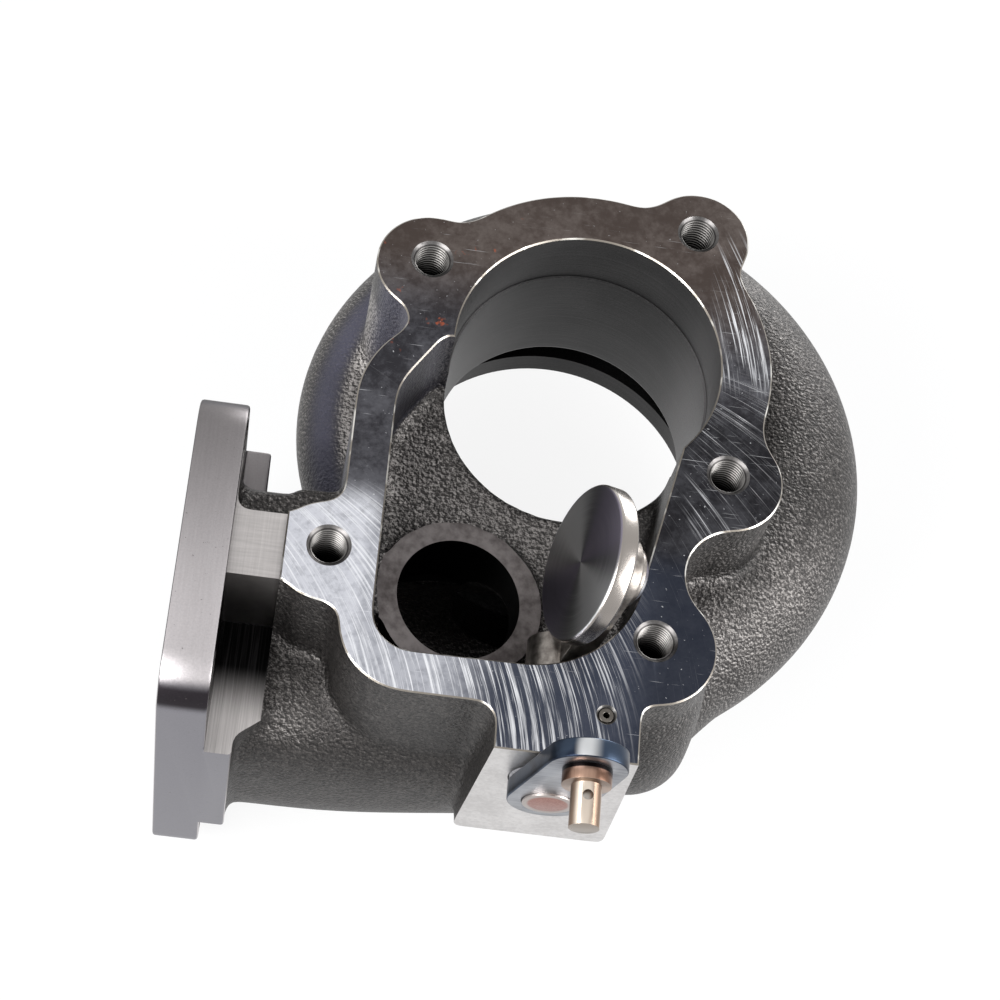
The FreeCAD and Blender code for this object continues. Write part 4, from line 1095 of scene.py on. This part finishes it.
    @staticmethod
    def changed(thing: bpy.types.Object, kind: str, **settings: object) -> None:
        """Adds a modifier with these settings and applies it."""
        modifier = thing.modifiers.new("step", kind)
        for name, value in settings.items():
            setattr(modifier, name, value)
        Bench.take(thing)
        bpy.ops.object.modifier_apply(modifier="step")

    @staticmethod
    def merged(things: Sequence[bpy.types.Object]) -> bpy.types.Object:
        """Joins objects into the first."""
        Bench.take(things[0])
        for thing in things[1:]:
            thing.select_set(True)
        bpy.ops.object.join()
        return things[0]

    @staticmethod
    def smoothed(thing: bpy.types.Object, angle: float = 35.0) -> None:
        """Shades smooth up to an angle in degrees."""
        Bench.take(thing)
        bpy.ops.object.shade_smooth_by_angle(angle=math.radians(angle))

    @staticmethod
    def placed(thing: bpy.types.Object, body: Body, slot: Slot, *nodes: str) -> bpy.types.Object:
        """Makes a piece ride on a body and stand for nodes."""
        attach(thing, body.value)
        if nodes:
            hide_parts(*nodes)
        LOG.info("%s: %d faces on %s", thing.name, len(thing.data.polygons), body.value)
        return thing


@dataclass
class Hole:
    """Place of a tapped hole."""

    x: float
    y: float


@dataclass
class Casting:
    """The turbine housing: a rough casting, then the cuts that a machinist makes in it."""

    node: str = "turbine_housing"
    face: float = 0.072
    stock: float = 0.003
    grid: float = 0.0011
    smoothing: int = 9
    kept_share: float = 0.42
    crease: float = 32
    shaft_bore_end: float = -0.0683
    base_radius: float = 0.0545
    base_circle: float = 0.045
    base_bolts: int = 6
    base_thread_length: float = 0.0085
    gate_depth: float = 0.018
    edge_break: float = 0.00032
    bore_radius: float = 0.0275
    pocket_floor: float = 0.050
    pocket_edge: float = 0.0207
    bore_step_depth: float = 0.015
    bore_step: float = 0.0004
    throat: float = 0.0272
    nozzle_top: float = 0.0246
    nozzle_bottom: float = 0.009
    nozzle_lip: float = 0.033
    nozzle_reach: float = 0.0405
    wheel_opening: float = 0.0346
    pilot_radius: float = 0.0385
    pilot_depth: float = 0.003
    plate_front: float = -0.0763
    plate_back: float = -0.0665
    band_back: float = -0.0613
    plate_low: tuple[float, float] = (-0.085, -0.0185)
    plate_high: tuple[float, float] = (-0.019, 0.0735)
    plate_corner: float = 0.0095
    band_bottom: float = 0.001
    web_low: Place = (-0.0640, -0.0830, 0.024)
    web_high: Place = (-0.0460, -0.0600, 0.0525)
    relief_floor: float = 0.045
    relief_end: float = -0.0564
    relief_side: float = -0.057
    bridge_top: float = 0.069
    port: tuple[float, float] = (-0.052, 0.023)
    port_half: tuple[float, float] = (0.0196, 0.0206)
    port_corner: float = 0.0095
    stud_radius: float = 0.00525
    stud_y: tuple[float, float] = (-0.077, -0.027)
    stud_z: tuple[float, float] = (-0.010, 0.065)
    boss_front: float = -0.087
    shaft: tuple[float, float] = (0.00007, 0.05786)
    bushing_radius: float = 0.0081
    lock_pin: tuple[float, float] = (0.00827, -0.0777)
    seat: Place = (-0.0204, -0.0498, 0.0541)
    seat_tilt: float = 9.4
    seat_radius: float = 0.017
    gate_radius: float = 0.0128
    holes: tuple[Hole, ...] = (
        Hole(-0.0338, 0.0174),
        Hole(0.0213, 0.0326),
        Hole(0.0298, -0.0233),
        Hole(0.0169, -0.0613),
        Hole(-0.0478, -0.0499),
    )
    thread_pitch: float = 0.0009
    thread_crest: float = 0.0034
    thread_root: float = 0.0040
    thread_length: float = 0.0175

    def _stocked(self) -> bpy.types.Object:
        """The rough casting before machining: copy of the node, with its cuts filled and its faces raised."""
        rough = Bench.copy_of(self.node, "housing_casting")
        face, stock = self.face, self.stock
        near = 1e-4
        relief_x = self.relief_end
        machined: tuple[tuple[Callable[[Vector, Vector], bool], Place], ...] = (
            (lambda c, n: n.z > 0.99 and abs(c.z - face) < near, (0, 0, stock)),
            (lambda c, n: n.y < -0.99 and abs(c.y - self.boss_front) < near, (0, -stock, 0)),
            (lambda c, n: n.z < -0.99 and abs(c.z) < near, (0, 0, -stock)),
            (lambda c, n: n.x < -0.99 and abs(c.x - relief_x) < near, (-stock, 0, 0)),
            (lambda c, n: n.z > 0.99 and c.x < relief_x and abs(c.z - self.relief_floor) < near
             and c.y < self.relief_side, (0, 0, stock * 0.6)),
            (lambda c, n: n.z > 0.99 and c.x < relief_x and abs(c.z - self.bridge_top) < near,
             (0, 0, stock * 0.6)),
            (lambda c, n: n.y < -0.99 and c.x < relief_x and abs(c.y - self.relief_side) < near,
             (0, -stock * 0.6, 0)),
        )
        for wanted, by in machined:
            Bench.raised(rough, wanted, by)
        fills = [rough]
        top = face + stock
        bore = self.bore_radius + 0.001
        fills.append(Bench.rod("fill", bore, (0, 0, 0.0), (0, 0, self.pocket_floor - 0.003)))
        wall = Bench.rod("fill", bore, (0, 0, self.pocket_floor - 0.004), (0, 0, top))
        Bench.worked(wall, Bench.block("opening", (-0.05, -0.05, 0), (self.pocket_edge, 0, 0.1)))
        fills.append(wall)
        fills.append(Bench.rod("fill", 0.0398, (0, 0, 0.002), (0, 0, 0.024)))
        fills.append(Bench.rod("fill", self.pilot_radius + 0.0015, (0, 0, -stock), (0, 0, 0.008)))
        for hole in self.holes:
            fills.append(Bench.rod("fill", 0.0047, (hole.x, hole.y, face - 0.019), (hole.x, hole.y, top), 24))
        for hole in self._base_holes():
            fills.append(Bench.rod("fill", 0.004, (hole.x, hole.y, -stock), (hole.x, hole.y, 0.010), 24))
        pin_x, pin_y = self.lock_pin
        fills.append(Bench.rod("fill", 0.0022, (pin_x, pin_y, 0.050), (pin_x, pin_y, top), 24))
        shaft_x, shaft_z = self.shaft
        boss = (shaft_x, self.boss_front - stock, shaft_z)
        fills.append(Bench.rod("fill", 0.0087, boss, (shaft_x, -0.0697, shaft_z)))
        normal = self._seat_normal()
        seat = Vector(self.seat)
        fills.append(Bench.rod("fill", self.seat_radius, seat - normal * 0.006, seat + normal * 0.0015))
        fills.append(self._flange_web())
        return Bench.merged(fills)

    def _flange_web(self) -> bpy.types.Object:
        """Cast web that carries the low end of the relief floor and runs out on the duct."""
        low, high = self.web_low, self.web_high
        web = Bench.block("flange_web", low, high)
        Bench.pick(web, lambda c, n: n.x > 0.9)
        bpy.ops.transform.resize(value=(1, 0.4, 0.4), center_override=(high[0], high[1], low[2] + 0.006))
        return Bench.leave(web)

    def _base_holes(self) -> list[Hole]:
        """Tapped holes of the centre-housing side."""
        turns = [math.radians(360 / self.base_bolts * (number + 0.5)) for number in range(self.base_bolts)]
        return [Hole(self.base_circle * math.cos(turn), self.base_circle * math.sin(turn)) for turn in turns]

    def _seat_normal(self) -> Vector:
        """Direction that the wastegate seat faces."""
        tilt = math.radians(self.seat_tilt)
        return Vector((math.sin(tilt), 0, math.cos(tilt)))

    def _bore_tool(self) -> bpy.types.Object:
        """Turned tool of the bore, its flare, the nozzle slot and the pilot recess."""
        throat_radius = self.bore_radius - self.bore_step
        step_height = self.face - self.bore_step_depth
        rings = [
            Ring(self.pilot_radius, -0.006),
            Ring(self.pilot_radius, self.pilot_depth),
            Ring(self.wheel_opening, self.pilot_depth + 0.00001),
            Ring(self.wheel_opening, self.nozzle_bottom),
            Ring(self.nozzle_reach, self.nozzle_bottom + 0.00001),
            Ring(self.nozzle_reach, self.nozzle_top - 0.00001),
            Ring(self.nozzle_lip, self.nozzle_top),
        ]
        steps = 6
        for number in range(1, steps + 1):
            turn = math.pi / 2 * number / steps
            rings.append(
                Ring(
                    self.nozzle_lip - (self.nozzle_lip - throat_radius) * math.sin(turn),
                    self.throat - (self.throat - self.nozzle_top) * math.cos(turn),
                )
            )
        rings += [
            Ring(throat_radius, step_height - 0.0001),
            Ring(self.bore_radius, step_height + 0.0001),
            Ring(self.bore_radius, self.face + 0.006),
        ]
        return Bench.turned("bore_tool", rings, (0, 0, 0), sides=128)

    def _thread_tool(self, hole: Hole, top: float, length: float, down: float) -> bpy.types.Object:
        """Tool of one tapped hole with its countersink, cutting along -Z or +Z.

        Args:
            hole: The hole's place.
            top: Height of the face that the hole opens in.
            length: Depth of the hole.
            down: -1 where it goes down from the face, 1 where it goes up.

        Returns:
            The tool.
        """
        height = 0.0008
        rings = [Ring(0.0052, -height), Ring(0.0044, 0.0), Ring(0.00395, 0.00045)]
        rings.append(Ring(self.thread_crest, height))
        while height + self.thread_pitch < length:
            rings.append(Ring(self.thread_crest, height + self.thread_pitch * 0.15))
            rings.append(Ring(self.thread_root, height + self.thread_pitch * 0.55))
            rings.append(Ring(self.thread_crest, height + self.thread_pitch))
            height += self.thread_pitch
        rings += [Ring(self.thread_crest, length), Ring(0.0002, length + 0.0018)]
        return Bench.turned("thread_tool", rings, (hole.x, hole.y, top), (0, 0, down), 40)

    def _plate(self) -> bpy.types.Object:
        """Inlet flange: plate with round corners and its thick middle band."""
        plate = Bench.block(
            "inlet_plate",
            (self.plate_front, self.plate_low[0], self.plate_low[1]),
            (self.plate_back, self.plate_high[0], self.plate_high[1]),
        )
        Bench.rounded_along_x(plate, self.plate_corner)
        band = Bench.block(
            "band",
            (self.plate_back - 0.002, self.plate_low[0], self.band_bottom),
            (self.band_back, self.plate_high[0], self.relief_floor + 0.002),
        )
        Bench.worked(plate, band, Join.ADD)
        Bench.changed(plate, "BEVEL", width=0.0006, segments=2, limit_method="ANGLE",
                      angle_limit=math.radians(50))
        return plate

    def _tongue(self) -> bpy.types.Object:
        """Wall that parts the gas passage under the wastegate port from the wheel."""
        low, high = self.nozzle_bottom - 0.001, self.nozzle_top + 0.004
        tongue = Bench.rod("tongue", self.nozzle_reach + 0.001, (0, 0, low), (0, 0, high), 96)
        Bench.worked(tongue, Bench.rod("core", self.nozzle_lip + 0.0006, (0, 0, 0), (0, 0, 0.05), 96))
        Bench.worked(tongue, Bench.block("side", (-0.036, -0.06, 0), (0.006, -0.015, 0.05)), Join.KEEP)
        return tongue

    def _port_tool(self) -> bpy.types.Object:
        """Tool of the inlet port through the flange."""
        middle_y, middle_z = self.port
        tool = Bench.block(
            "port_tool",
            (self.plate_front - 0.002, middle_y - self.port_half[0], middle_z - self.port_half[1]),
            (self.band_back + 0.003, middle_y + self.port_half[0], middle_z + self.port_half[1]),
        )
        return Bench.rounded_along_x(tool, self.port_corner)

    def build(self, finishes: "Finishes") -> bpy.types.Object:
        """Models the housing.

        Args:
            finishes: The materials.

        Returns:
            The dressed housing, which stands for its node.
        """
        housing = self._stocked()
        Bench.changed(housing, "REMESH", mode="VOXEL", voxel_size=self.grid)
        Bench.changed(housing, "SMOOTH", factor=0.5, iterations=self.smoothing)
        Bench.changed(housing, "DECIMATE", decimate_type="COLLAPSE", ratio=self.kept_share)
        Bench.coat(housing, finishes.cast)
        LOG.info("rough casting: %d faces", len(housing.data.polygons))
        for step in (self._cut_flange, self._cut_relief, self._cut_inlet, self._cut_bore,
                     self._cut_wastegate, self._cut_shaft, self._tap):
            step(housing, finishes)
        Bench.smoothed(housing, self.crease)
        return Bench.placed(housing, Body.HOUSING, Slot.CAST_IRON, self.node)

    def _cut_flange(self, housing: bpy.types.Object, finishes: "Finishes") -> None:
        """Clears the place of the flange, mills the outlet face and joins the flange."""
        plate_back, band_back, face = self.plate_back, self.band_back, self.face
        end = Bench.block("end_cut", (-0.1, -0.1, -0.04), (plate_back - 0.0004, 0.0, 0.1))
        Bench.worked(housing, end)
        band = Bench.block("band_cut", (-0.1, -0.1, self.band_bottom - 0.003),
                           (band_back - 0.0003, 0.0, self.relief_floor + 0.0015))
        Bench.worked(housing, band)
        top = Bench.block("top_cut", (-0.1, -0.1, face - self.edge_break), (0.08, 0.08, face + 0.02))
        Bench.worked(housing, Bench.coat(top, finishes.face))
        Bench.worked(housing, Bench.coat(self._plate(), finishes.flange), Join.ADD)

    def _cut_relief(self, housing: bpy.types.Object, finishes: "Finishes") -> None:
        """Faces the boss and the centre-housing side, and mills the relief behind the flange."""
        above = self.face + 0.02
        start = self.plate_back - 0.0001
        boss = Bench.block("boss_cut", (-0.03, -0.12, 0.012), (0.03, self.boss_front, above))
        base = Bench.rod("base_cut", self.base_radius, (0, 0, -0.012), (0, 0, 0))
        for tool in (boss, base):
            Bench.worked(housing, Bench.coat(tool, finishes.boss))
        relief = Bench.block("relief_cut", (start, -0.10, self.relief_floor),
                             (self.relief_end, self.relief_side, above))
        bridge = Bench.block("bridge_cut", (start, self.relief_side - 0.002, self.bridge_top),
                             (self.relief_end, -0.022, above))
        for tool in (relief, bridge):
            Bench.worked(housing, Bench.coat(tool, finishes.slot))

    def _cut_inlet(self, housing: bpy.types.Object, finishes: "Finishes") -> None:
        """Opens the inlet port and drills the stud holes."""
        Bench.worked(housing, Bench.coat(self._port_tool(), finishes.cast))
        for y in self.stud_y:
            for z in self.stud_z:
                stud = Bench.rod("stud", self.stud_radius, (self.plate_front - 0.002, y, z),
                                 (self.band_back + 0.006, y, z))
                Bench.worked(housing, Bench.coat(stud, finishes.drilled))

    def _cut_bore(self, housing: bpy.types.Object, finishes: "Finishes") -> None:
        """Bores the housing, adds the wall behind the nozzle and breaks the edges of the outlet face."""
        Bench.worked(housing, Bench.coat(self._bore_tool(), finishes.bored))
        # The wall behind the nozzle gets a near-black copy of the cast skin: painted shade deep in the
        # passage.
        Bench.worked(housing, Bench.coat(self._tongue(), finishes.passage_shade), Join.ADD)
        # The milled face lies a little low; its middle is raised again inside a bevel all round
        level = self.face - self.edge_break
        Bench.pick(housing, lambda c, n: n.z > 0.99 and abs(c.z - level) < 2e-5)
        bpy.ops.mesh.quads_convert_to_tris(quad_method="BEAUTY", ngon_method="BEAUTY")
        bpy.ops.mesh.inset(thickness=self.edge_break, depth=self.edge_break, use_boundary=True)
        Bench.leave(housing)

    def _cut_wastegate(self, housing: bpy.types.Object, finishes: "Finishes") -> None:
        """Faces the seat and bores the port under it."""
        normal = self._seat_normal()
        seat = Vector(self.seat)
        facing = Bench.rod("seat_cut", self.seat_radius + 0.0004, seat, seat + normal * 0.004)
        Bench.worked(housing, Bench.coat(facing, finishes.seat))
        gate = Bench.rod("gate", self.gate_radius, seat - normal * self.gate_depth, seat + normal * 0.002, 96)
        Bench.worked(housing, Bench.coat(gate, finishes.gate))

    def _cut_shaft(self, housing: bpy.types.Object, finishes: "Finishes") -> None:
        """Bores the boss for the bushing and drills the hole of its lock pin."""
        shaft_x, shaft_z = self.shaft
        bore = Bench.rod("shaft_bore", self.bushing_radius, (shaft_x, self.boss_front - 0.002, shaft_z),
                         (shaft_x, self.shaft_bore_end, shaft_z))
        Bench.worked(housing, Bench.coat(bore, finishes.drilled))
        rings = [Ring(0.0023, -0.0003), Ring(0.00145, 0.0006), Ring(0.00145, 0.0193)]
        hole = Bench.turned("lock_pin_cut", rings, (*self.lock_pin, self.face), (0, 0, -1), 32)
        Bench.worked(housing, Bench.coat(hole, finishes.drilled))

    def _tap(self, housing: bpy.types.Object, finishes: "Finishes") -> None:
        """Taps the holes of both faces."""
        for hole in self.holes:
            tool = self._thread_tool(hole, self.face, self.thread_length, -1)
            Bench.worked(housing, Bench.coat(tool, finishes.thread))
        for hole in self._base_holes():
            tool = self._thread_tool(hole, 0, self.base_thread_length, 1)
            Bench.worked(housing, Bench.coat(tool, finishes.base_thread))


@dataclass
class SoftEdged:
    """A frame node that is kept in shape and only gets its edges broken."""

    node: str
    name: str
    body: Body
    slot: Slot
    width: float = 0.0003

    def build(self, material: bpy.types.Material) -> bpy.types.Object:
        """Models the piece.

        Args:
            material: Its finish.

        Returns:
            The piece, which stands for its node.
        """
        piece = Bench.copy_of(self.node, self.name)
        bpy.ops.object.mode_set(mode="EDIT")
        bpy.ops.mesh.select_all(action="SELECT")
        bpy.ops.mesh.dissolve_limited(angle_limit=math.radians(0.8))
        bpy.ops.object.mode_set(mode="OBJECT")
        Bench.changed(piece, "BEVEL", width=self.width, segments=2, limit_method="ANGLE",
                      angle_limit=math.radians(40))
        Bench.coat(piece, material)
        Bench.smoothed(piece, 38)
        return Bench.placed(piece, self.body, self.slot, self.node)


@dataclass
class Wastegate:
    """Flap, crank, bushing, lever and their pins."""

    flap_middle: Place = (0.006902, -0.0498, 0.076231)
    flap_axis: Place = (0.937282, 0.0, -0.348572)

    def build(self, finishes: "Finishes") -> None:
        """Models and dresses each piece.

        Args:
            finishes: The materials.
        """
        disc = FlapDisc("turned_flap", self.flap_middle, self.flap_axis).material()
        SoftEdged("wastegate_bushing", "shaft_bushing", Body.HOUSING, Slot.BUSHING).build(finishes.bushing)
        SoftEdged("bushing_lock_pin", "bushing_pin", Body.HOUSING, Slot.LOCK_PIN, 0.00012).build(finishes.pin)
        SoftEdged("wastegate_crank", "flap_crank", Body.SWING_ARM, Slot.CRANK, 0.0006).build(finishes.crank)
        SoftEdged("wastegate_valve", "flap_disc", Body.SWING_ARM, Slot.VALVE, 0.0002).build(disc)
        SoftEdged("valve_washer", "flap_washer", Body.SWING_ARM, Slot.VALVE, 0.0002).build(finishes.crank)
        SoftEdged("actuator_lever", "shaft_lever", Body.SWING_ARM, Slot.LEVER, 0.0003).build(finishes.lever)
        SoftEdged("lever_pin", "rod_pin", Body.SWING_ARM, Slot.LEVER_PIN, 0.00025).build(finishes.brass)


class Finishes:
    """All materials, made once."""

    def __init__(self) -> None:
        """Builds the materials."""
        self.cast = CastSkin().material()
        # Near-black copy of the cast skin: painted shade on the wall deep in the gas passage.
        self.passage_shade = CastSkin("cast_iron_soot", (0.0010, 0.0010, 0.0010), (0.006, 0.006, 0.006),
                             (0.02, 0.02, 0.02), (0.006, 0.006, 0.006)).material()
        self.face = MilledFace().material()
        self.bored = BoredWall().material()
        self.flange = FlangeSkin().material()
        self.boss = CutSteel("boss_satin", (0.50, 0.485, 0.48), (0.66, 0.645, 0.64), 0.36,
                             (1.2, 1.2, 1.2)).material()
        self.slot = SlotWall().material()
        self.drilled = CutSteel("drilled_wall", (0.05, 0.05, 0.05), (0.24, 0.23, 0.22), 0.34).material()
        self.thread = ThreadFlank("outlet_thread", 72.0, -1.0).material()
        self.base_thread = ThreadFlank("base_thread", 0.0, 1.0).material()
        self.seat = CutSteel("seat_tan", (0.062, 0.054, 0.053), (0.165, 0.150, 0.148), 0.42, (0.5, 0.5, 0.5),
                             0.3).material()
        # Near-black wall of the wastegate port: painted shade deep in the port.
        self.gate = CutSteel("gate_shadowed", (0.0006, 0.0006, 0.0006), (0.004, 0.004, 0.004), 0.55).material()
        self.bushing = CutSteel("bushing_grey", (0.16, 0.16, 0.17), (0.42, 0.42, 0.44), 0.34).material()
        self.pin = CutSteel("pin_dark", (0.06, 0.055, 0.05), (0.30, 0.27, 0.24), 0.30).material()
        self.crank = ForgedCrank("crank_steel", (0.07, 57.86), -91.55).material()
        self.lever = TwoTone("lever_blued", (0.33, 0.34, 0.365), (0.155, 0.16, 0.18), (0.014, 0.019, 0.032),
                             (0.040, 0.056, 0.085)).material()
        self.brass = PlatedPin("pin_brass", -92.3, -94.5).material()


@dataclass
class Studio:
    """Floor, lamps, world and camera."""

    camera_place: Place = (-0.057274, -0.250789, 0.501927)
    camera_turn: Place = (0.453245, -0.135419, 0.079055)
    lens: float = 88.399

    def floor(self) -> None:
        """Lays a pale floor that looks white and keeps the object's shadow."""
        level = CAD_BOX[0][2]
        bpy.ops.mesh.primitive_plane_add(size=8, location=(0, 0, level - 0.0002))
        floor = Bench.settle(bpy.context.object, "studio_floor")
        tree = Tree("floor_paper")
        tree.wear(Base_Color=(0.86, 0.86, 0.86), Roughness=0.9)
        path = tree.node("ShaderNodeLightPath")
        seen = Value(tree, path.outputs["Is Camera Ray"]).at_least(Value(tree, path.outputs["Is Glossy Ray"]))
        seen = seen.at_least(Value(tree, path.outputs["Is Transmission Ray"]))
        glow = tree.node("ShaderNodeEmission", None, {"Color": (1.0, 1.0, 1.0), "Strength": 1.0})
        mixed = tree.node(
            "ShaderNodeMixShader", None, {0: seen * 0.86, 1: tree.shader.outputs[0], 2: glow.outputs[0]}
        )
        output = next(node for node in tree.nodes if node.type == "OUTPUT_MATERIAL")
        tree.links.new(mixed.outputs[0], output.inputs["Surface"])
        Bench.coat(floor, tree.material)

    def world(self) -> None:
        """Sets a world that is white to the camera and grey as a light."""
        world = bpy.data.worlds.new("studio_world")
        bpy.context.scene.world = world
        world.use_nodes = True
        nodes = world.node_tree.nodes
        links = world.node_tree.links
        nodes.clear()
        path = nodes.new("ShaderNodeLightPath")
        larger = nodes.new("ShaderNodeMath")
        larger.operation = "MAXIMUM"
        links.new(path.outputs["Is Camera Ray"], larger.inputs[0])
        links.new(path.outputs["Is Glossy Ray"], larger.inputs[1])
        light = nodes.new("ShaderNodeBackground")
        light.inputs["Color"].default_value = (0.95, 0.97, 1.0, 1.0)
        light.inputs["Strength"].default_value = 0.40
        seen = nodes.new("ShaderNodeBackground")
        seen.inputs["Color"].default_value = (1.0, 1.0, 1.0, 1.0)
        seen.inputs["Strength"].default_value = 1.0
        mixed = nodes.new("ShaderNodeMixShader")
        links.new(larger.outputs[0], mixed.inputs[0])
        links.new(light.outputs[0], mixed.inputs[1])
        links.new(seen.outputs[0], mixed.inputs[2])
        output = nodes.new("ShaderNodeOutputWorld")
        links.new(mixed.outputs[0], output.inputs["Surface"])

    def lamp(self, name: str, place: Place, size: float, power: float) -> None:
        """Hangs a square soft lamp that looks at the object.

        Args:
            name: The lamp's name.
            place: Where it hangs.
            size: Length of its side.
            power: Its power in watts.
        """
        data = bpy.data.lights.new(name, "AREA")
        data.size = size
        data.energy = power
        lamp = bpy.data.objects.new(name, data)
        bpy.context.scene.collection.objects.link(lamp)
        lamp.location = place
        lamp.rotation_euler = (Vector((0, -0.02, 0.04)) - Vector(place)).to_track_quat("-Z", "Y").to_euler()

    def build(self) -> None:
        """Sets up the whole studio."""
        scene = bpy.context.scene
        scene.view_settings.view_transform = "Standard"
        self.floor()
        self.world()
        self.lamp("key_left", (-0.55, -0.45, 0.55), 0.5, 9.0)
        self.lamp("fill_right", (0.65, -0.30, 0.35), 0.5, 7.0)
        self.lamp("back_low", (0.35, 0.75, 0.12), 0.5, 7.0)
        data = bpy.data.cameras.new("photo_camera")
        data.lens = self.lens
        data.sensor_width = 36.0
        camera = bpy.data.objects.new("photo_camera", data)
        scene.collection.objects.link(camera)
        camera.location = self.camera_place
        camera.rotation_euler = self.camera_turn
        scene.camera = camera


def main() -> None:
    """Builds the studio, the housing and the wastegate in order."""
    Studio().build()
    finishes = Finishes()
    Casting().build(finishes)
    Wastegate().build(finishes)


if __name__ == "__main__":
    main()
